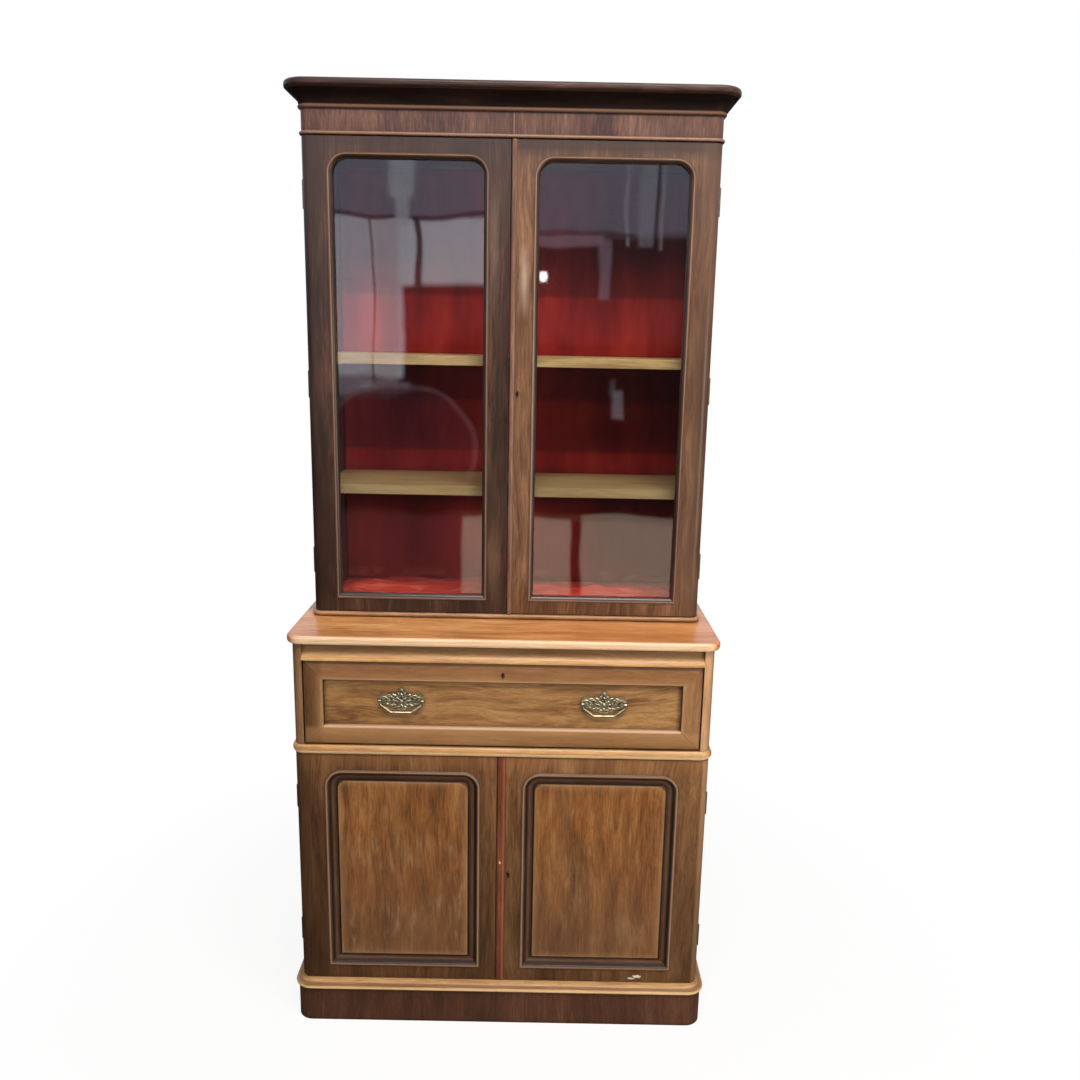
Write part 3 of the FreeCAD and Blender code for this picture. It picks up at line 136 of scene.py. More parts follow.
# Patches of light and shade in those surroundings, as headings from left to right and from foot to head,
# with the softness of their edges, their tint and its share.
mirrored_patches = (
    (-0.3, -0.038, 0.064, 0.129, 0.003, "#eef4ff", 1.0), (-0.3, -0.138, -0.028, 0.066, 0.003, "#eef4ff", 1.0),
    (-0.3, -0.167, -0.05, 0.129, 0.004, "#c9c8da", 0.5),
    (-0.165, -0.142, -0.05, 0.129, 0.003, "#c8b2bc", 0.5),
    (-0.1695, -0.1665, -0.05, 0.131, 0.001, "#4a4248", 0.7),
    (-0.125, -0.118, 0.062, 0.132, 0.0015, "#2a1a20", 0.9),
    (-0.3, -0.056, 0.1295, 0.134, 0.0015, "#3c3840", 0.8),
    (-0.15, -0.124, 0.152, 0.21, 0.003, "#d4dae6", 0.75),
    (-0.144, -0.129, 0.12, 0.158, 0.003, "#d4dae6", 0.75),
    (0.089, 0.0935, 0.104, 0.19, 0.001, "#c4c8d4", 0.6), (0.104, 0.118, 0.104, 0.19, 0.002, "#bcc4d4", 0.45),
    (0.118, 0.121, 0.1, 0.19, 0.001, "#2c2e34", 0.8), (0.123, 0.126, 0.1, 0.19, 0.001, "#c4c8d4", 0.5),
    (-0.02, 0.066, 0.104, 0.115, 0.002, "#af9aac", 0.8), (0.062, 0.074, 0.05, 0.11, 0.002, "#af9aac", 0.7),
    (0.0, 0.1, 0.1135, 0.118, 0.001, "#5c484e", 0.6), (0.0005, 0.0095, 0.0695, 0.0785, 0.001, "#ffffff", 1.0),
    (-0.21, -0.075, -0.3, -0.172, 0.005, "#6a4a50", 0.6),
    (-0.076, 0.04, -0.32, -0.178, 0.002, "#d8c6b2", 0.9),
    (0.051, 0.165, -0.32, -0.173, 0.002, "#d8c6b2", 0.9),
    (-0.076, 0.165, -0.181, -0.173, 0.002, "#6f7263", 0.35),
    (0.081, 0.092, -0.072, -0.044, 0.002, "#b4acb4", 0.7),
    (0.078, 0.084, -0.05, -0.034, 0.002, "#8c8890", 0.5),
    (-0.18, -0.132, -0.044, -0.034, 0.003, "#b4b8c6", 0.9),
)
for left, right, foot, head, soft, tint, share in mirrored_patches:
    mask = add(air, "Math", {0: within(air, across, left, right, soft),
                             1: within(air, height, foot, head, soft)}, operation="MULTIPLY")
    mask = add(air, "Math", {0: mask, 1: facing}, operation="MULTIPLY")
    mirrored_air = laid_over(air, mirrored_air, mask, share, tint)
# One more patch is arched, with a pale rim.
arch = add(air, "VectorMath", {0: heading, 1: (-0.150, 0.0, -0.117)}, operation="SUBTRACT")
arch = add(air, "VectorMath", {0: arch, 1: (11.8, 0.0, 14.1)}, operation="MULTIPLY")
arch = add(air, "VectorMath", {0: arch}, operation="LENGTH").outputs["Value"]
above = add(air, "MapRange", {0: rise, 1: -0.165, 2: -0.145})
for first, last, soft, tint, share in (
        (-1.0, 0.95, 0.03, "#46303a", 0.8), (0.93, 1.0, 0.015, "#846a70", 0.6)):
    mask = add(air, "Math", {0: within(air, arch, first, last, soft), 1: above}, operation="MULTIPLY")
    mask = add(air, "Math", {0: mask, 1: facing}, operation="MULTIPLY")
    mirrored_air = laid_over(air, mirrored_air, mask, share, tint)
lamp = add(air, "VectorMath", {0: heading, 1: (0.0, -0.998, 0.064)}, operation="DISTANCE")
lamp = add(air, "MapRange", {0: lamp.outputs["Value"], 1: 0.0055, 2: 0.0035, 3: 2.7, 4: 16.0})
plain_air = add(air, "Background", {"Color": (0.98, 0.985, 1.0, 1), "Strength": 0.20})
glossy_air = add(air, "Background", {"Color": mirrored_air, "Strength": lamp})
white_air = add(air, "Background", {"Color": (1, 1, 1, 1), "Strength": 1.0})
lit = add(air, "MixShader", {0: seen, 1: plain_air, 2: white_air})
lit = add(air, "MixShader", {0: mirrored, 1: lit, 2: glossy_air})
add(air, "OutputWorld", {0: lit})

white_paper, tree = material("white_paper_sweep")
paper = add(tree, "BsdfDiffuse", {"Color": linear("#f4f4f4")})
glow = add(tree, "Emission", {"Color": (1, 1, 1, 1), "Strength": 1.0})
room_floor = add(tree, "Emission", {"Color": linear("#34302e"), "Strength": 1.0})
seen, mirrored = ray_kinds(tree)
far = add(tree, "TexCoord").outputs["Object"]
far = add(tree, "VectorMath", {0: far}, operation="LENGTH").outputs["Value"]
far = add(tree, "MapRange", {0: far, 1: 0.6, 2: 1.5, 3: 0.90, 4: 1.0})
shown = add(tree, "Math", {0: seen, 1: far}, operation="MULTIPLY")
blend = add(tree, "MixShader", {0: shown, 1: paper, 2: glow})
blend = add(tree, "MixShader", {0: mirrored, 1: blend, 2: room_floor})
add(tree, "OutputMaterial", {0: blend})


def piece(name, shape, finish):
    """A finished piece at the origin, from its worked shape."""
    mesh = bpy.data.meshes.new(name)
    shape.to_mesh(mesh)
    shape.free()
    mesh.materials.append(finish)
    made = bpy.data.objects.new(name, mesh)
    bpy.context.scene.collection.objects.link(made)
    return made


shape = bmesh.new()
bmesh.ops.create_grid(shape, x_segments=1, y_segments=1, size=2.7)
floor = piece("paper_floor", shape, white_paper)


def soft_box(name, place, target, width, height, watts, colour):
    """A rectangular lamp at a place, turned to a target."""
    lamp = bpy.data.lights.new(name, "AREA")
    lamp.shape = "RECTANGLE"
    lamp.size = width
    lamp.size_y = height
    lamp.energy = watts
    lamp.color = linear(colour)[:3]
    box = bpy.data.objects.new(name, lamp)
    bpy.context.scene.collection.objects.link(box)
    box.location = place
    box.rotation_euler = (Vector(target) - Vector(place)).to_track_quat("-Z", "Y").to_euler()


soft_box("ceiling_box", (0.5, -1.9, 3.8), (0.0, -0.1, 1.1), 2.4, 0.9, 132.0, "#fff7ec")
soft_box("left_box", (-2.4, -2.6, 1.9), (0.0, -0.2, 1.1), 1.0, 1.6, 5.0, "#fbfbff")
soft_box("right_box", (2.3, -2.5, 1.2), (0.0, -0.2, 0.8), 1.0, 1.4, 36.0, "#fff6ea")


# Bookcase case
# Mahogany sides on a carcase of pine, French polished outside. Long years have darkened it nearly to
# black-brown, and the polish mirrors the room with a greyish mauve bloom.
def axis_place(tree, axis):
    """Where a point is along one axis, in metres."""
    return add(tree, "SeparateXYZ", {0: add(tree, "TexCoord").outputs["Object"]}).outputs[axis]


def off_middle(tree, axis, low, high):
    """How far a point is past the middle between two places on an axis, and the same without its sign."""
    past = add(tree, "Math", {0: axis_place(tree, axis), 1: (low + high) / 2}, operation="SUBTRACT")
    return past, add(tree, "Math", {0: past}, operation="ABSOLUTE")


def grain_run(tree, coords, run, stretch):
    """Object coordinates drawn out along the grain: along an axis, wrapped round the front corners of a
    case with the half width and front given, or following the strips of a mitred frame with its edges."""
    along = 1 / stretch
    scales = {"X": (along, 1, 1), "Y": (1, along, 1), "Z": (1, 1, along)}
    kind = run[0]
    drawn = {axis: add(tree, "VectorMath", {0: coords, 1: scales[axis]}, operation="MULTIPLY")
             for axis in "XYZ"}
    if kind in "XYZ":
        return drawn[kind]
    if kind == "wrap":
        out = add(tree, "Math", {0: axis_place(tree, "X")}, operation="ABSOLUTE")
        out = add(tree, "Math", {0: out, 1: run[1]}, operation="SUBTRACT")
        ahead = add(tree, "Math", {0: run[2], 1: axis_place(tree, "Y")}, operation="SUBTRACT")
        mask = add(tree, "Math", {0: out, 1: ahead}, operation="GREATER_THAN")
        return add(tree, "MixRGB", {0: mask, 1: drawn["X"], 2: drawn["Y"]})
    past = {}
    for axis, low, high in (("X", *run[1:3]), ("Z", *run[3:])):
        past[axis] = add(tree, "Math", {0: off_middle(tree, axis, low, high)[1], 1: (high - low) / 2},
                         operation="SUBTRACT")
    mask = add(tree, "Math", {0: past["X"], 1: past["Z"]}, operation="GREATER_THAN")
    return add(tree, "MixRGB", {0: mask, 1: drawn["X"], 2: drawn["Z"]})


def wood(name, dark, middle, light, run, stretch=20.0, broad=0.05, figure=0.5, streak=0.004, pore=0.22,
         wander=0.012, rough=0.40, coat=0.14, dirt_and_corner_shade=0.7, edge_wear_and_highlight=0.35, edge_wear_and_highlight_tint="#a87f5a", offset=0.0, patches=None,
         contrast=1.0, tints=(), paint=(), shine=0.3):
    """A wood under old polish: broad figure, bands, grain streaks, pores, dirt and painted shade in corners,
    worn edges with a painted highlight.
    """
    made, tree = material(name)
    coords = add(tree, "TexCoord").outputs["Object"]
    if offset:
        coords = add(tree, "VectorMath", {0: coords, 1: (offset, offset, offset)}, operation="ADD")
    bend = add(tree, "TexNoise", {"Vector": coords, "Scale": 3.2, "Detail": 1.5}).outputs["Color"]
    bend = add(tree, "VectorMath", {0: bend, 1: (0.5, 0.5, 0.5)}, operation="SUBTRACT")
    bend = add(tree, "VectorMath", {0: bend, "Scale": wander * 4}, operation="SCALE")
    bent = add(tree, "VectorMath", {0: coords, 1: bend}, operation="ADD")
    drawn = grain_run(tree, bent, run, stretch)
    figured = add(tree, "TexNoise", {"Vector": drawn, "Scale": 1 / broad, "Detail": 1.5, "Roughness": 0.45})
    rings = add(tree, "Math", {0: figured, 1: 64.0}, operation="MULTIPLY")
    rings = add(tree, "Math", {0: rings}, operation="SINE")
    lines = add(tree, "TexNoise", {"Vector": drawn, "Scale": 1 / streak, "Detail": 3.0, "Roughness": 0.55})
    tone = add(tree, "Math", {0: rings, 1: figure * 0.09, 2: lines}, operation="MULTIPLY_ADD")
    banded = grain_run(tree, bent, run, stretch * 0.4)
    bands = add(tree, "TexNoise", {"Vector": banded, "Scale": 52.0, "Detail": 2.0})
    cloud = add(tree, "TexNoise", {"Vector": grain_run(tree, bent, run, 2.4), "Scale": 9.0, "Detail": 3.0,
                                   "Roughness": 0.55})
    shade = add(tree, "Math", {0: figured, 1: 0.9, 2: tone}, operation="MULTIPLY_ADD")
    shade = add(tree, "Math", {0: bands, 1: 0.8, 2: shade}, operation="MULTIPLY_ADD")
    shade = add(tree, "Math", {0: cloud, 1: 0.9, 2: shade}, operation="MULTIPLY_ADD")
    shade = add(tree, "MapRange", {0: shade, 1: 1.80 - 0.56 / contrast, 2: 1.80 + 0.56 / contrast})
    if patches:
        leaf = add(tree, "SeparateXYZ", {0: bent}).outputs["X"]
        leaf = add(tree, "Math", {0: leaf, 1: 1 / patches}, operation="MULTIPLY")
        leaf = add(tree, "Math", {0: leaf}, operation="FLOOR")
        chance = add(tree, "TexWhiteNoise", {"W": leaf}, noise_dimensions="1D").outputs["Value"]
        shade = add(tree, "Math", {0: chance, 1: 0.24, 2: shade}, operation="MULTIPLY_ADD")
        shade = add(tree, "Math", {0: shade, 1: 0.12}, operation="SUBTRACT")
    colour = add(tree, "ValToRGB", {0: shade}, stops=[(0.05, linear(dark)), (0.5, linear(middle)),
                                                       (0.95, linear(light))])
    # The pores are drawn about 1.4 mm wide, coarser than real ones, so that they show.
    pores = add(tree, "TexNoise", {"Vector": drawn, "Scale": 700.0, "Detail": 1.0})
    pores = add(tree, "MapRange", {0: pores, 1: 0.38, 2: 0.52, 3: 1 - pore, 4: 1.0})
    colour = add(tree, "MixRGB", {0: 1.0, 1: colour, 2: pores}, blend_type="MULTIPLY")
    for axis, low, high, soft, tint, amount in tints:
        colour = laid_over(tree, colour, within(tree, axis_place(tree, axis), low, high, soft), amount, tint)
    for layer in paint:
        colour = layer(tree, colour, cloud, lines)
    # Pale worn edges, which are also a painted highlight along every rounded edge.
    if edge_wear_and_highlight:
        rounded = add(tree, "Bevel", {"Radius": 0.002}, samples=4)
        flat = add(tree, "NewGeometry").outputs["Normal"]
        edge = add(tree, "VectorMath", {0: rounded, 1: flat}, operation="DOT_PRODUCT").outputs["Value"]
        edge = add(tree, "MapRange", {0: edge, 1: 0.985, 2: 0.90, 3: 0.0, 4: edge_wear_and_highlight})
        colour = laid_over(tree, colour, edge, cloud, edge_wear_and_highlight_tint)
    # Dirt and painted shade in corners and hollows, found by ambient occlusion.
    if dirt_and_corner_shade:
        corner = add(tree, "AmbientOcclusion", {"Distance": 0.012}, samples=4).outputs["AO"]
        corner = add(tree, "MapRange", {0: corner, 1: 0.3, 2: 0.9, 3: 1 - dirt_and_corner_shade, 4: 1.0})
        colour = add(tree, "MixRGB", {0: 1.0, 1: colour, 2: corner}, blend_type="MULTIPLY")
    gloss = add(tree, "MapRange", {0: cloud, 1: 0.3, 2: 0.75, 3: rough - 0.06, 4: rough + 0.12})
    relief = add(tree, "Math", {0: pores, 1: 0.6, 2: lines}, operation="MULTIPLY_ADD")
    bump = add(tree, "Bump", {"Strength": 0.12, "Distance": 0.0005, "Height": relief})
    surface = add(tree, "BsdfPrincipled", {
        "Base Color": colour, "Roughness": gloss, "Coat Weight": coat, "Coat Roughness": 0.2,
        "Specular IOR Level": shine, "Normal": bump})
    add(tree, "OutputMaterial", {0: surface})
    return made


def spotted(*spots):
    """Paint of small oval stains or chips: place, half width, half height, tint and amount of each."""
    def paint(tree, colour, cloud, lines):
        coords = add(tree, "TexCoord").outputs["Object"]
        ragged = add(tree, "TexNoise", {"Vector": coords, "Scale": 230.0, "Detail": 3.0})
        ragged = add(tree, "Math", {0: ragged, 1: 2.6, 2: -1.3}, operation="MULTIPLY_ADD")
        for x, z, half_width, half_height, tint, amount in spots:
            away = add(tree, "VectorMath", {0: coords, 1: (x, 0, z)}, operation="SUBTRACT")
            away = add(tree, "VectorMath", {0: away, 1: (1 / half_width, 0, 1 / half_height)},
                       operation="MULTIPLY")
            away = add(tree, "VectorMath", {0: away}, operation="LENGTH").outputs["Value"]
            away = add(tree, "Math", {0: away, 1: ragged}, operation="ADD")
            colour = laid_over(tree, colour, add(tree, "MapRange", {0: away, 1: 1.2, 2: 0.7}), amount, tint)
        return colour

    return paint


def edged(low_x, high_x, low_z, high_z, soft, tint, amount, fade=None):
    """One painted highlight, shadow, sheen or streak: an upright rectangle, soft across and fading in height.
    """
    def paint(tree, colour, cloud, lines):
        mask = add(tree, "Math", {0: within(tree, axis_place(tree, "X"), low_x, high_x, soft),
                                  1: within(tree, axis_place(tree, "Z"), low_z, high_z, fade or soft)},
                   operation="MULTIPLY")
        return laid_over(tree, colour, mask, amount, tint)

    return paint


def moulded(low_x, high_x, low_z, high_z, corner, width, bands):
    """Paint for a moulding round an opening, by how far in from its outer edge: painted highlight and shade,
    or lines.
    """
    def paint(tree, colour, cloud, lines):
        x = off_middle(tree, "X", low_x, high_x)[1]
        upward, z = off_middle(tree, "Z", low_z, high_z)
        round_by = add(tree, "MapRange", {0: upward, 1: 0.0, 2: 0.001, 3: 0.0, 4: corner})
        past = []
        for place, half in ((x, (high_x - low_x) / 2), (z, (high_z - low_z) / 2)):
            inner = add(tree, "Math", {0: round_by, 1: half}, operation="SUBTRACT")
            past.append(add(tree, "Math", {0: place, 1: inner}, operation="ADD"))
        nearest = add(tree, "Math", {0: past[0], 1: past[1]}, operation="MAXIMUM")
        nearest = add(tree, "Math", {0: nearest, 1: 0.0}, operation="MINIMUM")
        turn = add(tree, "CombineXYZ", {0: past[0], 1: past[1]})
        turn = add(tree, "VectorMath", {0: turn, 1: (0, 0, 0)}, operation="MAXIMUM")
        turn = add(tree, "VectorMath", {0: turn}, operation="LENGTH").outputs["Value"]
        depth = add(tree, "Math", {0: round_by, 1: turn}, operation="SUBTRACT")
        depth = add(tree, "Math", {0: depth, 1: nearest}, operation="SUBTRACT")
        depth = add(tree, "Math", {0: depth, 1: width}, operation="DIVIDE")
        tints = [(place, linear(tint)) for place, tint, amount in bands]
        amounts = [(place, (amount, amount, amount, 1)) for place, tint, amount in bands]
        return add(tree, "MixRGB", {0: add(tree, "ValToRGB", {0: depth}, stops=amounts), 1: colour,
                                    2: add(tree, "ValToRGB", {0: depth}, stops=tints)})

    return paint


def mitres(low_x, high_x, low_z, high_z, tint, amount):
    """Paint of the joint lines of a mitred frame, running in from its outer corners at 45 degrees."""
    def paint(tree, colour, cloud, lines):
        apart = add(tree, "Math", {0: off_middle(tree, "X", low_x, high_x)[1],
                                   1: off_middle(tree, "Z", low_z, high_z)[1]}, operation="SUBTRACT")
        corner = (high_x - low_x - high_z + low_z) / 2
        line = within(tree, apart, corner - 0.0006, corner + 0.0006, 0.0005)
        return laid_over(tree, colour, line, amount, tint)

    return paint


def finish_with(made, *names):
    """Gives CAD nodes their finish."""
    for name in names:
        materials = cad[name].data.materials
        materials.clear()
        materials.append(made)


# French polish on dark mahogany: nearly black, with a soft sheen along the grain.
case_sides = wood("dark_mahogany_polished_sides", "#2a1a12", "#4d3124", "#6d4a37", ("Z",), offset=0.3)
finish_with(case_sides, "upper_case_sides")
# Sawn pine that was never finished: pale honey brown, matt, with wide rings.
old_pine = wood("old_pine_bare_boards", "#7d5d3c", "#a3815a", "#bf9f76", ("Z",), coat=0.0, rough=0.62,
                edge_wear_and_highlight=0.0, streak=0.009, pore=0.12, figure=1.5, patches=0.16)
finish_with(old_pine, "upper_back_boards", "lower_back_boards")


def shelf_dust(tree, colour, cloud, lines):
    """Greyish handling marks on pale shelves."""
    return laid_over(tree, colour, add(tree, "MapRange", {0: cloud, 1: 0.45, 2: 0.7}), 0.45, "#8d7a60")


# Planed and waxed pine: paler and smoother, dulled by handling, darker on the lower shelf, and with
# painted shade, nearly black, at the top of the case.
flat_pine = wood(
    "old_pine_planed_shelf", "#96754c", "#b99a6c", "#cfb385", ("X",), coat=0.0, rough=0.5,
    edge_wear_and_highlight=0.2, streak=0.007, pore=0.12, figure=1.5, dirt_and_corner_shade=0.45, edge_wear_and_highlight_tint="#d8c096",
    paint=(shelf_dust,),
    tints=[("Z", 1.31, 1.346, 0.001, "#7a6242", 0.5), ("Z", 2.12, 2.26, 0.001, "#1c120e", 0.94)])
finish_with(flat_pine, "upper_case_boards", "bookcase_shelves", "cupboard_floor", "cupboard_shelf",
            "dust_board", "drawer_runners", "shelf_pegs")

# Cornice and frieze
# A moulded top board, a cove and a bead glued up in strips, over a frieze veneered with short lengths
# of mahogany whose grain stands upright.
cornice_edge = wood("dark_mahogany_cornice_board", "#21130f", "#38241e", "#523a30", ("wrap", 0.516, -0.105),
                    edge_wear_and_highlight=0.45, edge_wear_and_highlight_tint="#785a4c", coat=0.08, shine=0.2, patches=0.14)
finish_with(cornice_edge, "cornice_top_board")
# The cove has a darker copy of the board's mahogany as painted shade, and a painted highlight low on it.
cornice_cove = wood("dark_mahogany_cove_painted_shade", "#0f0705", "#1c0e0a", "#301b14", ("wrap", 0.480, -0.069), coat=0.0,
                    shine=0.15, rough=0.55, tints=[("Z", 2.2045, 2.2135, 0.0006, "#7a5a49", 0.6)])
finish_with(cornice_cove, "cornice")
frieze_veneer = wood(
    "mahogany_crossbanded_frieze", "#37211a", "#55382e", "#715143", ("Z",), patches=0.118,
    figure=0.2, stretch=14.0, contrast=1.3,
    # A painted highlight on the bead at the foot, a pale joint line up the middle, a painted shadow under it.
    tints=[("Z", 2.1500, 2.1572, 0.0006, "#8c6a55", 0.6)],
    paint=(edged(0.004, 0.006, 2.157, 2.204, 0.0006, "#a07a68", 0.5),
           edged(-0.6, 0.6, 2.1450, 2.1485, 0.0006, "#0c0605", 0.85)))
finish_with(frieze_veneer, "frieze")
base_bead = wood("golden_mahogany_base_bead", "#7a4f30", "#a87c55", "#c89d74", ("wrap", 0.480, -0.069),
                 edge_wear_and_highlight=0.5, edge_wear_and_highlight_tint="#e0b98c")
finish_with(base_bead, "upper_base_moulding")

# Red cloth
# Crimson cotton stretched over the back boards and tacked along its edges, where it puckers, and a
# second length laid loosely over the floor of the bookcase with a fold along its front.
def hills(x, z, seed, count, long_x, long_z):
    """Smooth wandering relief between about -1 and 1, from a few sine waves with seeded directions."""
    chance = random.Random(seed)
    total = 0.0
    for i in range(count):
        a = chance.uniform(0.6, 1.4) * math.tau / long_x * chance.choice((-1, 1))
        b = chance.uniform(0.4, 1.3) * math.tau / long_z
        total += math.sin(a * x + b * z + chance.uniform(0, math.tau)) * chance.uniform(0.4, 1.0)
    return total / (count * 0.55)


# Dyed cotton: matt, deep red, faded in upright streaks, with painted shadow under each shelf. Its threads
# lie about 0.5 mm apart, too fine to show, and are drawn 7 mm apart.
crimson_cotton, tree = material("crimson_cotton_cloth")
coords = add(tree, "TexCoord").outputs["Object"]
threads = {"Vector": coords, "Scale": 45.4545, "Distortion": 0.6, "Detail": 1.0}
warp = add(tree, "TexWave", threads, wave_type="BANDS", bands_direction="X")
weft = add(tree, "TexWave", threads, wave_type="BANDS", bands_direction="Z")
weave = add(tree, "Math", {0: warp.outputs[1], 1: weft.outputs[1]}, operation="MULTIPLY")
hanging = add(tree, "VectorMath", {0: coords, 1: (2.2, 1.0, 0.5)}, operation="MULTIPLY")
fade = add(tree, "TexNoise", {"Vector": hanging, "Scale": 5.0, "Detail": 4.0, "Roughness": 0.6})
cloth_colour = add(tree, "ValToRGB", {0: fade}, stops=[(0.3, linear("#821f20")), (0.55, linear("#ae2c28")),
                                               (0.75, linear("#c84434"))])
# Painted light brightens the cloth in the lowest bay towards its foot.
low = add(tree, "MapRange", {0: axis_place(tree, "Z"), 1: 1.34, 2: 1.06})
cloth_colour = laid_over(tree, cloth_colour, low, 0.6, "#d84a38")
# Painted shadow across the top of the bookcase and under each shelf.
for foot, head, soft, share in ((1.815, 2.3, 0.006, 0.45), (1.95, 2.3, 0.06, 0.3), (1.405, 1.66, 0.006, 0.4),
                                (1.54, 1.66, 0.01, 0.55), (1.240, 1.34, 0.03, 0.75)):
    cloth_colour = laid_over(tree, cloth_colour, within(tree, axis_place(tree, "Z"), foot, head, soft), share, "#340f12")
# Painted highlights on the folds of the floor cloth.
tangled = add(tree, "VectorMath", {0: coords, 1: (1.0, 4.5, 1.0)}, operation="MULTIPLY")
fold_highlight = add(tree, "TexNoise", {"Vector": tangled, "Scale": 9.0, "Detail": 2.0, "Distortion": 0.8})
fold_highlight = add(tree, "MapRange", {0: fold_highlight, 1: 0.5, 2: 0.62, 4: 0.32})
spread = add(tree, "MapRange", {0: axis_place(tree, "Z"), 1: 1.075, 2: 1.055})
cloth_colour = laid_over(tree, cloth_colour, fold_highlight, spread, "#ff8a70")
cloth_colour = add(tree, "MixRGB", {0: 0.25, 1: cloth_colour, 2: weave}, blend_type="MULTIPLY")
nap = add(tree, "Bump", {"Strength": 0.25, "Distance": 0.0004, "Height": weave})
cotton = add(tree, "BsdfPrincipled", {"Base Color": cloth_colour, "Roughness": 0.85, "Specular IOR Level": 0.1,
                                      "Sheen Weight": 0.08, "Sheen Roughness": 0.5,
                                      "Sheen Tint": linear("#ff6a50"), "Normal": nap})
add(tree, "OutputMaterial", {0: cotton})

back_low = (-0.459, 1.0385)
back_high = (0.459, 2.1300)
cloth_plane = 0.2400
cloth_margin = 0.05
back_fold_height = 0.0055
shelf_margin = 0.035
shelf_levels = (1.322, 1.345, 1.640, 1.663)
pucker_spacing = 0.062
pucker_reach = 0.12


def length_of_cloth(name, shape, thickness):
    """A smooth sheet of cloth from its middle surface."""
    made = piece(name, shape, crimson_cotton)
    made.data.shade_smooth()
    wall = made.modifiers.new("cloth_thickness", "SOLIDIFY")
    wall.thickness = thickness
    wall.offset = 0.0
    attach(made, "root")
    return made


shape = bmesh.new()
bmesh.ops.create_grid(shape, x_segments=150, y_segments=180, size=0.5)
for vertex in shape.verts:
    x = back_low[0] + (vertex.co.x + 0.5) * (back_high[0] - back_low[0])
    z = back_low[1] + (vertex.co.y + 0.5) * (back_high[1] - back_low[1])
    free = min(x - back_low[0], back_high[0] - x, back_high[1] - z, (z - back_low[1]) * 2) / cloth_margin
    for level in shelf_levels:
        free = min(free, abs(z - level) / shelf_margin)
    if shelf_levels[0] < z < shelf_levels[1] or shelf_levels[2] < z < shelf_levels[3]:
        free = 0.0
    free = max(0.0, min(1.0, free))
    free = free * free * (3 - 2 * free)
    folds = hills(x, z, 11, 5, 0.16, 0.9) * 0.6 + hills(x, z, 12, 5, 0.055, 0.5) * 0.3
    near_top = max(0.0, 1 - (back_high[1] - z) / pucker_reach)
    pucker = math.sin(x * math.tau / pucker_spacing) * near_top * 0.35
    vertex.co = (x, cloth_plane - free * back_fold_height * (0.8 + folds + pucker), z)
bmesh.ops.reverse_faces(shape, faces=shape.faces)
back_cloth = length_of_cloth("back_cloth", shape, 0.0008)
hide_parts("bookcase_lining")

floor_front = -0.036
floor_back = 0.236
cloth_level = 1.0372
floor_fold_height = 0.013
shape = bmesh.new()
bmesh.ops.create_grid(shape, x_segments=220, y_segments=90, size=0.5)
for vertex in shape.verts:
    x = back_low[0] + (vertex.co.x + 0.5) * (back_high[0] - back_low[0])
    y = floor_front + (vertex.co.y + 0.5) * (floor_back - floor_front)
    inside = min(x - back_low[0], back_high[0] - x, (y - floor_front) * 2, (floor_back - y) * 1.5)
    inside = max(0.0, min(1.0, inside / cloth_margin))
    lean = y + 0.22 * x + 0.02 * math.sin(x * 13)
    ridges = sum(math.exp(-((lean - place) / width) ** 2) * height
                 for place, width, height in ((-0.03, 0.012, 0.8), (0.045, 0.009, 1.0), (0.10, 0.014, 0.7),
                                              (0.165, 0.010, 0.9), (-0.085, 0.010, 0.8)))
    other = y - 0.35 * x + 0.015 * math.sin(x * 9 + 2)
    ridges += sum(math.exp(-((other - place) / 0.008) ** 2) * height
                  for place, height in ((0.02, 0.6), (0.13, 0.5), (-0.07, 0.5), (0.21, 0.4)))
    rise = 0.35 + ridges + 0.3 * hills(x, y, 31, 5, 0.2, 0.1)
    vertex.co = (x, y, cloth_level + max(0.0, inside * floor_fold_height * rise))
floor_cloth = length_of_cloth("floor_cloth", shape, 0.0010)

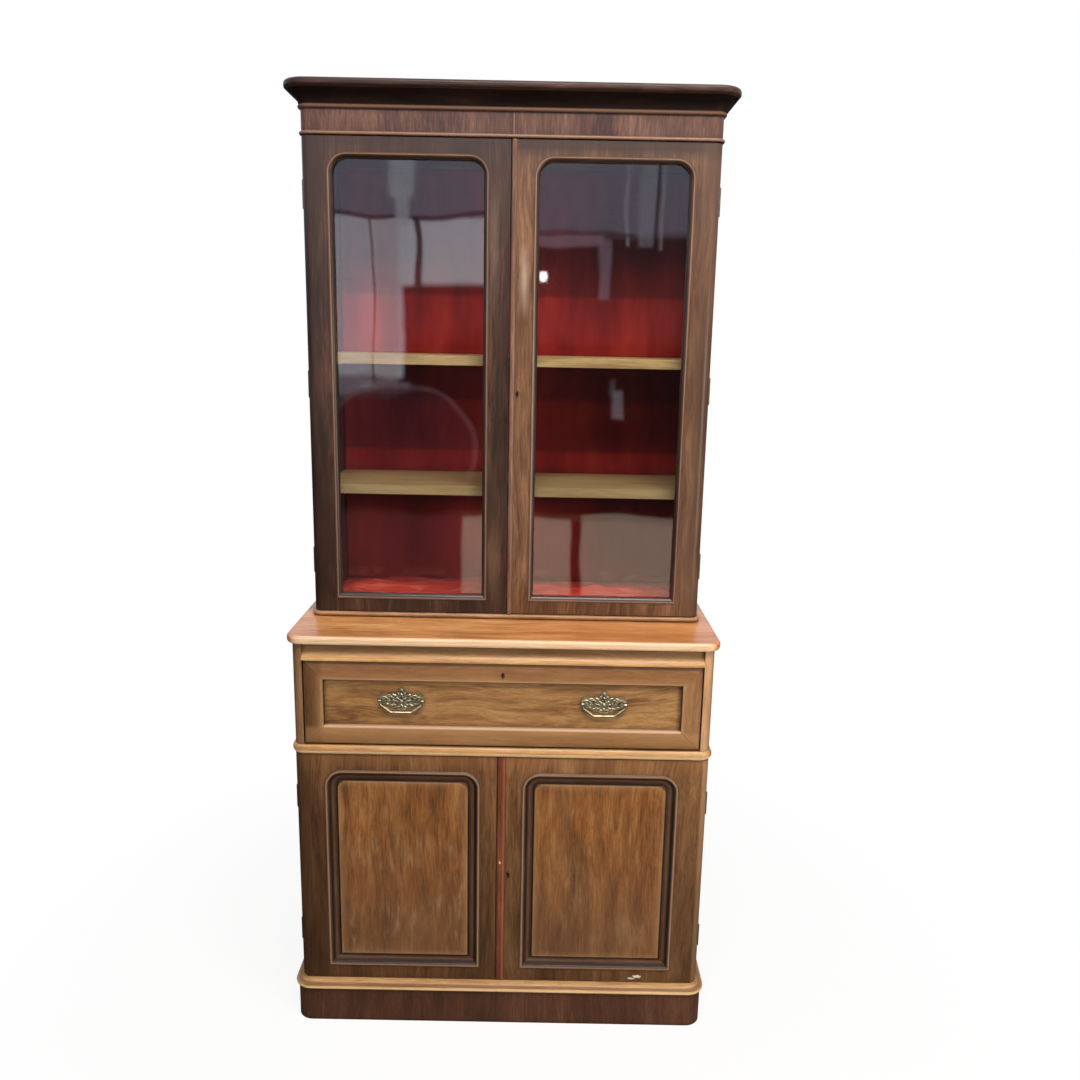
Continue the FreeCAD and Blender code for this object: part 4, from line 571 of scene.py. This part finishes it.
# Glazed doors
# Mahogany frames veneered with upright grain, arched beads round the panes, old window glass, and
# brass butt hinges, lock and slip bolt. The left door's woods are painted darker than the right door's,
# as painted shade.
shaded_and_lit_frame_colours = {"left": ("#23140e", "#3c261b", "#5b3f2f"), "right": ("#432c1c", "#684730", "#8a6548")}
shaded_and_lit_bead_colours = {"left": ("#3f2a21", "#654839", "#876857"), "right": ("#523729", "#7c5c48", "#9f7c66")}
glazing_bead_width = 0.012
keyhole_dark = (0.0045, 0.0085, "#100906", 0.9)
for side, low, high in (("left", -0.421, -0.050), ("right", 0.054, 0.421)):
    edges = (low, high, 1.065, 2.113)
    frame_wood = wood(
        "dark_mahogany_" + side + "_door_frame", *shaded_and_lit_frame_colours[side], ("Z",), patches=0.21,
        offset=1.1 if side == "left" else 2.3, edge_wear_and_highlight=0.4, edge_wear_and_highlight_tint="#94705a", coat=0.16,
        contrast=1.3,
        # Painted shade on the left door's outer stile, darker along the top, greyer on the right outer stile.
        tints=[("X", -0.60, -0.44, 0.015, "#22140d", 0.6),
               ("Z", 2.118, 2.2, 0.012, "#2c1d18", 0.55 if side == "left" else 0.88),
               ("X", 0.43, 0.50, 0.012, "#5c4436", 0.45)],
        # Painted highlight, grey sheen and mauve reflection high up, painted shade low left, streaks,
        # keyhole.
        paint=(edged(0.026, 0.040, 1.80, 1.88, 0.007, "#dcc4b2", 0.45, fade=0.05),
               edged(-0.50, -0.40, 1.02, 1.45, 0.02, "#2a1408", 0.45, fade=0.15),
               edged(0.030, 0.060, 1.42, 1.70, 0.008, "#3c2415", 0.35, fade=0.08),
               edged(0.452, 0.470, 1.15, 1.75, 0.008, "#3a2415", 0.45, fade=0.15),
               edged(-0.040, -0.018, 1.30, 1.70, 0.006, "#1c110b", 0.5, fade=0.12),
               edged(-0.044, -0.030, 1.82, 2.02, 0.006, "#6d625d", 0.3, fade=0.06),
               edged(-0.046, -0.020, 1.08, 1.25, 0.008, "#7a5a42", 0.35, fade=0.06),
               edged(-0.50, 0.50, 1.98, 2.2, 0.01, "#483a36", 0.30, fade=0.12),
               spotted((0.020, 1.576, *keyhole_dark))))
    finish_with(frame_wood, "upper_" + side + "_door_frame")
    # Painted highlight along the bead, painted shade in its hollow and beside the glass.
    bead_highlight_and_shade_bands = [(0.0, "#3a2820", 0.7), (0.13, "#402c22", 0.6), (0.25, "#a3836e", 0.6),
                  (0.36, "#4c3529", 0.7), (0.52, "#1c110c", 0.85), (1.0, "#0e0806", 0.9)]
    bead_wood = wood("mahogany_" + side + "_glazing_bead", *shaded_and_lit_bead_colours[side], ("mitred", *edges),
                     edge_wear_and_highlight=0.4, edge_wear_and_highlight_tint="#a98672", coat=0.2, rough=0.36,
                     paint=(moulded(*edges, 0.045, glazing_bead_width, bead_highlight_and_shade_bands),))
    finish_with(bead_wood, "upper_" + side + "_door_moulding")
meeting_bead = wood("mahogany_meeting_bead", "#3e2a20", "#694b3b", "#886855", ("Z",), edge_wear_and_highlight=0.5,
                    edge_wear_and_highlight_tint="#a98672", coat=0.2,
                    # Painted shadow down the left side of the bead.
                    paint=(edged(-0.60, 0.0025, 0.9, 2.2, 0.0008, "#140b07", 0.7),))
finish_with(meeting_bead, "upper_meeting_bead")

# Blown and flattened glass: clear, and a little uneven, so that what it mirrors wavers.
window_glass, tree = material("old_window_glass")
coords = add(tree, "TexCoord").outputs["Object"]
ripple = add(tree, "TexNoise", {"Vector": coords, "Scale": 6.0, "Detail": 1.0})
wavy = add(tree, "Bump", {"Strength": 0.06, "Distance": 0.004, "Height": ripple})
clear = add(tree, "BsdfPrincipled", {"Base Color": linear("#f1f4f2"), "Roughness": 0.015, "IOR": 1.52,
                                     "Transmission Weight": 1.0, "Normal": wavy})
passed = add(tree, "BsdfTransparent", {"Color": linear("#f4f6f5")})
rays = add(tree, "LightPath")
through = add(tree, "Math", {0: rays.outputs["Is Shadow Ray"], 1: rays.outputs["Is Diffuse Ray"]},
              operation="MAXIMUM")
pane = add(tree, "MixShader", {0: through, 1: clear, 2: passed})
add(tree, "OutputMaterial", {0: pane})
finish_with(window_glass, "upper_left_glass", "upper_right_glass")


def metal(name, bright, dull, rough, tarnish=0.5, scale=60.0):
    """A metal that has dulled unevenly, brighter where hands have rubbed it."""
    made, tree = material(name)
    coords = add(tree, "TexCoord").outputs["Object"]
    cloud = add(tree, "TexNoise", {"Vector": coords, "Scale": scale, "Detail": 4.0, "Roughness": 0.6})
    spread = add(tree, "MapRange", {0: cloud, 1: 0.35, 2: 0.68})
    corner = add(tree, "AmbientOcclusion", {"Distance": 0.004}, samples=4).outputs["AO"]
    corner = add(tree, "MapRange", {0: corner, 1: 0.2, 2: 0.8, 3: 1 - tarnish, 4: 1.0})
    colour = add(tree, "MixRGB", {0: spread, 1: linear(bright), 2: linear(dull)})
    colour = add(tree, "MixRGB", {0: 1.0, 1: colour, 2: corner}, blend_type="MULTIPLY")
    gloss = add(tree, "MapRange", {0: cloud, 1: 0.3, 2: 0.7, 3: rough, 4: rough + 0.18})
    grain = add(tree, "Bump", {"Strength": 0.15, "Distance": 0.0004, "Height": cloud})
    surface = add(tree, "BsdfPrincipled", {"Base Color": colour, "Metallic": 1.0, "Roughness": gloss,
                                           "Normal": grain})
    add(tree, "OutputMaterial", {0: surface})
    return made


cast_brass = metal("cast_brass_hinges_and_locks", "#93784a", "#4d3e26", 0.38)
finish_with(cast_brass, "hinge_case_leaves", "upper_left_door_fittings", "upper_right_door_fittings",
            "lower_left_door_fittings", "lower_right_door_fittings", "upper_lock_bolt", "lower_lock_bolt",
            "upper_slip_bolt", "lower_slip_bolt", "drawer_hinge_leaves", "fall_fittings", "fall_lock_bolt")

# Desk top
# A mahogany slab with a rounded front edge, paler than the rest, whose nose is rubbed to bare wood and
# carries a painted highlight. It lies on the cupboard's sides, over a hollowed fascia rail between two
# rounded corner columns.
def rubbed_and_lit_nose(tree, colour, cloud, lines):
    """Bare pale wood and a painted highlight along the front edge of the slab, broken up by the grain."""
    nose = add(tree, "MapRange", {0: axis_place(tree, "Y"), 1: -0.2325, 2: -0.2385, 3: 0.0, 4: 0.95})
    broken = add(tree, "MapRange", {0: lines, 1: 0.30, 2: 0.62, 3: 0.55, 4: 1.0})
    return laid_over(tree, colour, nose, broken, "#e0c3a2")


# Mahogany that light has bleached: orange gold, with the best polish of the piece.
slab_wood = wood(
    "golden_mahogany_desk_slab", "#ac6c38", "#d4965c", "#e6b27a", ("X",), stretch=30.0, edge_wear_and_highlight=0.8,
    edge_wear_and_highlight_tint="#f2d8ac", dirt_and_corner_shade=0.5, pore=0.3, coat=0.3, rough=0.34, contrast=1.35,
    paint=(rubbed_and_lit_nose,),
    # Oranger to the right, and painted shade under the rounded nose.
    tints=[("X", 0.05, 0.6, 0.15, "#c4702e", 0.3), ("Z", 0.99, 1.003, 0.002, "#a8784a", 0.55)])
finish_with(slab_wood, "desk_top")


def hollow_shade(tree, colour, cloud, lines):
    """Painted shade in the hollow under the slab, above the pale lip."""
    lip = add(tree, "MapRange", {0: axis_place(tree, "Z"), 1: 0.9625, 2: 0.984})
    return laid_over(tree, colour, lip, 0.6, "#4b2f17")


rail_wood = wood("golden_mahogany_fascia", "#98683a", "#bd8f58", "#d4aa74", ("X",), stretch=30.0, edge_wear_and_highlight=0.5,
                 edge_wear_and_highlight_tint="#e0bb88", paint=(hollow_shade,))
finish_with(rail_wood, "fascia_rail")
column_wood = wood(
    "drawer_mahogany_columns", "#8c6547", "#ba8f66", "#d6ad83", ("Z",), offset=0.7, edge_wear_and_highlight=0.4,
    # Painted highlight on the right column, painted shade at its outer edge and on the left column.
    tints=[("X", 0.470, 0.492, 0.006, "#c89d72", 0.4),
           ("X", 0.496, 0.52, 0.002, "#5f3d24", 0.5),
           ("X", -0.51, -0.46, 0.004, "#54351f", 0.6)])
finish_with(column_wood, "corner_columns")
lower_sides = wood("dark_mahogany_cupboard_sides", "#33200f", "#573a24", "#75533a", ("Z",), offset=1.9)
finish_with(lower_sides, "lower_case_sides")

# Drop front
# The drawer's front, of figured mahogany, framed by a mitred moulding whose strips meet at 45 degrees.
# A writing leather is let into its back.
fall_edges = (-0.472, 0.472, 0.748, 0.956)
fall_frame_width = 0.047
fall_wood = wood("drawer_mahogany_panel", "#6f4a2a", "#9a7145", "#b58b58", ("X",), stretch=16.0, broad=0.045,
                 figure=1.1, wander=0.018, offset=3.7, contrast=1.15)
finish_with(fall_wood, "fall_front")
# Painted shade at the moulding's outer and inner edges, a painted highlight just inside the inner one.
fall_highlight_and_shade_bands = [(0.0, "#3c2413", 0.7), (0.06, "#7a5230", 0.1), (0.55, "#a87c50", 0.15), (0.84, "#b88c60", 0.35),
              (0.93, "#c39a70", 0.5), (0.99, "#2c190d", 0.8)]
fall_frame = wood(
    "drawer_mahogany_mitred_frame", "#5f3c22", "#835b37", "#a1774b",
    ("mitred", *fall_edges), stretch=18.0, figure=0.9, wander=0.016, offset=4.4,
    # Painted shade on the left side and the top rail, painted light on the bottom rail.
    dirt_and_corner_shade=0.75, edge_wear_and_highlight_tint="#d0a47c", tints=[("X", -0.50, -0.43, 0.006, "#3c200c", 0.62),
                                      ("Z", 0.74, 0.79, 0.006, "#b88a58", 0.35),
                                      ("Z", 0.915, 0.96, 0.004, "#6e4526", 0.3)],
    # Painted highlight at the panel's foot, painted shadow under its top edge, dark mitres, the keyhole.
    paint=(moulded(*fall_edges, 0.0, fall_frame_width, fall_highlight_and_shade_bands),
           mitres(*fall_edges, "#2a170b", 0.7),
           edged(-0.426, 0.426, 0.7905, 0.7965, 0.0007, "#d6b294", 0.75),
           edged(-0.426, 0.426, 0.9075, 0.911, 0.0006, "#24130a", 0.75),
           spotted((0.0, 0.927, 0.0045, 0.0085, "#140b05", 0.9))))
finish_with(fall_frame, "fall_moulding")
# Skiver leather, dyed green: a fine grain, dull where hands have lain, with two tooled gilt lines. The
# streaks of wood, not drawn out, make its grain.
leather_edges = (-0.410, 0.410, 0.778, 0.906)
gilt_lines = [(0.42, "#2f4331", 0.0), (0.46, "#b89a4e", 0.85), (0.58, "#b89a4e", 0.85),
              (0.62, "#2f4331", 0.0), (0.72, "#b89a4e", 0.6), (0.76, "#2f4331", 0.0)]
desk_leather = wood(
    "worn_green_desk_leather", "#1d2a1d", "#2f4331", "#465c42", ("X",), stretch=1.0,
    streak=0.0016, broad=0.03, figure=0.0, pore=0.2, rough=0.5, coat=0.0, edge_wear_and_highlight=0.3,
    edge_wear_and_highlight_tint="#8a8a5c", paint=(moulded(*leather_edges, 0.0, 0.02, gilt_lines),))
finish_with(desk_leather, "fall_leather")

# Drawer box and pigeonholes
# Oak drawer sides with dovetails, waxed at most, and a fitted interior of thin polished mahogany boards,
# housed into each other, with four small drawers.
drawer_oak = wood("oak_drawer_box", "#8a6a44", "#b08f64", "#c9ab80", ("X",), pore=0.5, coat=0.0, rough=0.55,
                  edge_wear_and_highlight=0.1)
finish_with(drawer_oak, "secretaire_drawer_box")
nest_wood = wood("mahogany_pigeonholes", "#6a4025", "#99683f", "#b78a59", ("X",), offset=5.1)
finish_with(nest_wood, "pigeonhole_unit", "small_drawer_1", "small_drawer_2", "small_drawer_3",
            "small_drawer_4")

# Handles
# Cast brass backplates with scrolls and leaves raised on them round the piercings, and swinging bails,
# never lacquered and gone greenish grey in the hollows.
old_brass = metal("aged_brass_drop_handles", "#d2cbab", "#8d8464", 0.30, tarnish=0.9, scale=90.0)
finish_with(old_brass, "handle_plates", "left_bail", "right_bail")
handle_height = 0.859
plate_front = -0.2232
# In millimetres from the middle of a plate, for its right half: each leaf's place, half length, half width,
# height and turn, and each scroll's centre, first and last reach, first and last angle, and thickness.
leaves = (
    (0, 23, 6.0, 3.6, 2.0, 90), (0, 12.5, 4.6, 3.0, 2.2, 90), (0, -4, 4.0, 4.0, 2.3, 0),
    (0, -16, 6.0, 3.8, 2.0, 90), (7, 15, 5.5, 2.2, 1.9, 62), (8.5, 3.5, 5.5, 2.2, 2.2, 40),
    (8, -17, 4.5, 2.2, 1.6, -15), (17, 12, 6.0, 2.6, 1.9, 20), (19, -1, 4.0, 1.8, 1.9, 75),
    (22, -13, 6.5, 2.3, 1.6, -6), (31, 11, 6.0, 3.0, 1.7, -8), (33, -2, 4.0, 2.2, 1.7, 70),
    (34, -10, 5.0, 2.2, 1.3, 8),
)
scrolls = (
    (0, 4.3, 4.9, 4.9, 90, -90, 1.3, 1.3), (14.6, -6.8, 4.7, 5.8, 60, 330, 1.0, 1.7),
    (24.8, 3.1, 4.7, 6.6, 250, -60, 1.0, 1.8), (42, 0, 7.0, 8.8, -70, 200, 1.0, 1.7),
)
for side, middle in (("left", -0.241), ("right", 0.241)):
    shape = bmesh.new()
    for half in (-1, 1):
        for across, up, long, wide, high, turn in leaves:
            centre = (middle + half * across / 1000, plate_front, handle_height + up / 1000)
            turned = Matrix.Rotation(-math.radians(turn if half > 0 else 180 - turn), 4, "Y")
            place = Matrix.Translation(centre) @ turned
            size = Matrix.Diagonal((long / 1000, high / 1000, wide / 1000, 1))
            bmesh.ops.create_uvsphere(shape, u_segments=14, v_segments=10, radius=1.0, matrix=place @ size)
        for across, up, first, last, start, stop, thick, thicker in scrolls:
            for i in range(25):
                share = i / 24
                angle = math.radians(start + (stop - start) * share)
                reach = first + (last - first) * share
                a = middle + half * (across + reach * math.cos(angle)) / 1000
                b = handle_height + (up + reach * math.sin(angle)) / 1000
                radius = (thick + (thicker - thick) * share) / 1000
                bmesh.ops.create_uvsphere(shape, u_segments=8, v_segments=6, radius=radius,
                                          matrix=Matrix.Translation((a, plate_front, b)))
    relief = piece(side + "_handle_relief", shape, old_brass)
    cast = relief.modifiers.new("cast_in_one", "REMESH")
    cast.mode = "VOXEL"
    cast.voxel_size = 0.0005
    cast.use_smooth_shade = True
    soften = relief.modifiers.new("softened_by_casting", "SMOOTH")
    soften.factor = 0.5
    soften.iterations = 2
    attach(relief, "fall")

# Cupboard doors
# Mahogany frames with upright grain round a fielded panel, with an arched bolection moulding, and a red
# lipping where they meet. The panels are scuffed pale, most of all low down.
def scuffs(tree, colour, cloud, lines):
    """Pale upright scrapes and rubbed blotches where the polish has gone, thicker towards the foot."""
    coords = add(tree, "TexCoord").outputs["Object"]
    tall = add(tree, "VectorMath", {0: coords, 1: (1.0, 1.0, 0.16)}, operation="MULTIPLY")
    scrape = add(tree, "TexNoise", {"Vector": tall, "Scale": 62.0, "Detail": 4.0, "Roughness": 0.7})
    scrape = add(tree, "MapRange", {0: scrape, 1: 0.48, 2: 0.66})
    blotch = add(tree, "TexNoise", {"Vector": coords, "Scale": 11.0, "Detail": 3.0})
    blotch = add(tree, "MapRange", {0: blotch, 1: 0.44, 2: 0.6})
    low = add(tree, "MapRange", {0: axis_place(tree, "Z"), 1: 0.62, 2: 0.24, 3: 0.10, 4: 0.75})
    left = add(tree, "MapRange", {0: axis_place(tree, "X"), 1: -0.04, 2: 0.04, 3: 1.0, 4: 0.55})
    low = add(tree, "Math", {0: low, 1: left}, operation="MULTIPLY")
    rubbed = add(tree, "Math", {0: scrape, 1: blotch}, operation="MULTIPLY")
    colour = laid_over(tree, colour, rubbed, low, "#b0936c")
    # Darker towards the foot.
    dull = add(tree, "MapRange", {0: axis_place(tree, "Z"), 1: 0.52, 2: 0.24})
    colour = laid_over(tree, colour, dull, 0.55, "#5f4330")
    stain = add(tree, "VectorMath", {0: coords, 1: (1.0, 1.0, 0.3)}, operation="MULTIPLY")
    stain = add(tree, "TexNoise", {"Vector": stain, "Scale": 17.0, "Detail": 2.0})
    return laid_over(tree, colour, add(tree, "MapRange", {0: stain, 1: 0.54, 2: 0.72}), 0.45, "#4c3524")


def darker_foot(tree, colour, cloud, lines):
    """Frames darken towards the foot."""
    low = add(tree, "MapRange", {0: axis_place(tree, "Z"), 1: 0.72, 2: 0.30})
    return laid_over(tree, colour, low, 0.55, "#33200f")


# Painted highlight on each moulding's outer bead, painted shade in its hollows and at the panel.
moulding_highlight_and_shade_bands = [(0.0, "#2e1e14", 0.6), (0.08, "#7c5f48", 0.5), (0.16, "#ab8766", 0.7), (0.24, "#5c4332", 0.6),
               (0.33, "#150c07", 0.9), (0.48, "#1f120a", 0.8), (0.62, "#5e3f2b", 0.5), (0.78, "#3d2516", 0.6),
               (0.95, "#140b06", 0.85)]
# A painted highlight round each panel's field, with painted shade at its very edge.
fielding_highlight_bands = [(0.0, "#2a170b", 0.7), (0.12, "#a5825a", 0.35), (0.45, "#9c7850", 0.18),
                  (1.0, "#9c7850", 0.0)]
# The keyhole, and two chips near the foot of the right door.
marks = spotted((0.018, 0.408, *keyhole_dark), (0.334, 0.1235, 0.009, 0.0032, "#d9cdb2", 0.8),
                (0.348, 0.1295, 0.010, 0.0042, "#e6dcc4", 0.85))
# The left cupboard door's woods are painted darker than the right door's, as painted shade.
shaded_and_lit_cupboard_colours = {"left": ("#442917", "#6a4629", "#88603c"), "right": ("#55361f", "#7c5533", "#986e47")}
moulding_width = 0.031
for side, low, high in (("left", -0.430, -0.051), ("right", 0.0485, 0.430)):
    edges = (low, high, 0.148, 0.681)
    frame_wood = wood(
        "cupboard_mahogany_" + side + "_frame", *shaded_and_lit_cupboard_colours[side], ("Z",), patches=0.17,
        offset=6.3 if side == "left" else 7.9, paint=(darker_foot, marks), coat=0.05,
        shine=0.2, rough=0.48, contrast=1.25,
        # Lighter along the top, painted shade on the left outer stile, a painted highlight down the right
        # edge.
        tints=[("Z", 0.705, 0.78, 0.03, "#9a6a42", 0.4),
               ("X", -0.56, -0.45, 0.03, "#2c190c", 0.5),
               ("X", 0.484, 0.51, 0.003, "#b08a66", 0.6)])
    finish_with(frame_wood, "lower_" + side + "_door_frame")
    bead_wood = wood("cupboard_mahogany_" + side + "_moulding", "#35241a", "#5d4435", "#7d6250",
                     ("mitred", *edges), edge_wear_and_highlight=0.5, edge_wear_and_highlight_tint="#a58b7c", dirt_and_corner_shade=0.85, coat=0.1, shine=0.2,
                     paint=(moulded(*edges, 0.044, moulding_width, moulding_highlight_and_shade_bands),))
    finish_with(bead_wood, "lower_" + side + "_door_moulding")
    panel_edges = [edge + way * moulding_width for edge, way in zip(edges, (1, -1, 1, -1))]
    panel_wood = wood(
        "cupboard_mahogany_" + side + "_panel", "#58361b", "#825228", "#9d6f40", ("Z",),
        offset=8.3 if side == "left" else 9.2, rough=0.5, coat=0.0, shine=0.2, edge_wear_and_highlight=0.4,
        dirt_and_corner_shade=0.75, stretch=14.0, contrast=1.2,
        paint=(scuffs, moulded(*panel_edges, 0.022, 0.018, fielding_highlight_bands)))
    finish_with(panel_wood, "lower_" + side + "_panel")
strip_wood = wood(
    "red_mahogany_meeting_strip", "#4a2013", "#6e3822", "#8a5032", ("Z",), coat=0.0,
    # Painted shadow at the left edge and in the gap on the right, and a painted highlight down the bead.
    tints=[("X", -0.02, -0.0085, 0.001, "#25110a", 0.75),
           ("X", 0.003, 0.0075, 0.0015, "#99593c", 0.6),
           ("X", 0.0088, 0.012, 0.0006, "#2c140b", 0.7)],
    paint=(spotted((-0.003, 0.441, 0.0025, 0.0035, "#dcb492", 0.9)),))
finish_with(strip_wood, "lower_meeting_strip")

# Screws
# Slotted brass screw heads, let into the leaves of the hinges and the lock plate of the fall, set by
# hand with their slots at odd angles.
screw_brass = metal("worn_brass_screw_heads", "#b4965c", "#6e5a36", 0.32, tarnish=0.6, scale=200.0)
head_radius = 0.0026


def screw_heads(name, body, places):
    """Shallow slotted heads in one mesh, each as two halves beside its slot: centre and facing of each."""
    turn = random.Random(name)
    shape = bmesh.new()
    for centre, facing in places:
        frame_of_head = Vector(facing).to_track_quat("Z", "Y").to_matrix().to_4x4()
        angle = turn.uniform(0, math.tau)
        place = Matrix.Translation(centre) @ frame_of_head @ Matrix.Rotation(angle, 4, "Z")
        for side in (0, math.pi):
            rim = []
            for i in range(9):
                a = side + math.radians(10 + 20 * i)
                rim.append((head_radius * math.cos(a), head_radius * math.sin(a)))
            foot = [shape.verts.new(place @ Vector((x, y, 0.0))) for x, y in rim]
            # The crown is drawn in all round, but the walls of the slot stay upright.
            crown = []
            for x, y in rim:
                top = Vector((x * 0.82, y * 0.82 + math.copysign(0.0306 * head_radius, y), 0.0003))
                crown.append(shape.verts.new(place @ top))
            shape.faces.new(crown)
            for i in range(9):
                shape.faces.new((foot[i], foot[(i + 1) % 9], crown[(i + 1) % 9], crown[i]))
    bmesh.ops.recalc_face_normals(shape, faces=shape.faces)
    made = piece(name, shape, screw_brass)
    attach(made, body)


case_places = []
for side_name, side in (("left", -1), ("right", 1)):
    for storey, half, joint, levels, height in (
            ("upper", 0.480, -0.044, (1.1245, 1.55775, 1.991), 0.064),
            ("lower", 0.500, -0.205, (0.2065, 0.570), 0.058)):
        door = storey + "_" + side_name
        door_places = []
        for level in levels:
            for i, share in enumerate((0.17, 0.5, 0.83)):
                x = side * (half - (0.0076 if i == 1 else 0.0104))
                case_places.append(((x, joint, level + share * height), (0, -1, 0)))
                door_places.append(((x, joint - 0.001, level + share * height), (0, 1, 0)))
        screw_heads(door + "_hinge_screws", door + "_door", door_places)
screw_heads("case_hinge_screws", "root", case_places)
fall_places = []
drawer_places = []
for middle in (-0.330, 0.0, 0.330):
    for x in (-0.018, 0.0, 0.018):
        back = 0.0 if x else 0.004
        fall_places.append(((middle + x, -0.203, 0.7655 + back), (0, 1, 0)))
        drawer_places.append(((middle + x, -0.1855 + back, 0.753), (0, 0, 1)))
for x, z in ((-0.022, 0.920), (0.022, 0.920), (-0.022, 0.949), (0.022, 0.949)):
    fall_places.append(((x, -0.203, z), (0, 1, 0)))
screw_heads("fall_screws", "fall", fall_places)
screw_heads("drawer_hinge_screws", "secretaire_drawer", drawer_places)

# Plinth and waist
# Solid mahogany strips: a cove over a bead at the foot, a half-round at the waist, and a plain plinth,
# glued round the cupboard and mitred at its corners.
waist_wood = wood(
    "golden_mahogany_waist", "#845a32", "#b88a58", "#d2aa76", ("wrap", 0.500, -0.230),
    stretch=26.0, edge_wear_and_highlight=0.7, edge_wear_and_highlight_tint="#ecca98", dirt_and_corner_shade=0.6,
    # Painted highlights on the waist's foot and the plinth bead, painted shade above and below that bead.
    tints=[("Z", 0.725, 0.7315, 0.0012, "#efd3a6", 0.5),
           ("Z", 0.0998, 0.1035, 0.0008, "#5f4022", 0.6),
           ("Z", 0.0945, 0.0985, 0.001, "#f0d4a8", 0.5),
           ("Z", 0.08, 0.0925, 0.001, "#6b4826", 0.5)])
finish_with(waist_wood, "waist_moulding", "plinth_moulding")
plinth_wood = wood("red_mahogany_plinth", "#321d13", "#543423", "#714c35", ("Z",), rough=0.55, coat=0.0,
                   shine=0.2, contrast=0.55, patches=0.19)
finish_with(plinth_wood, "plinth")
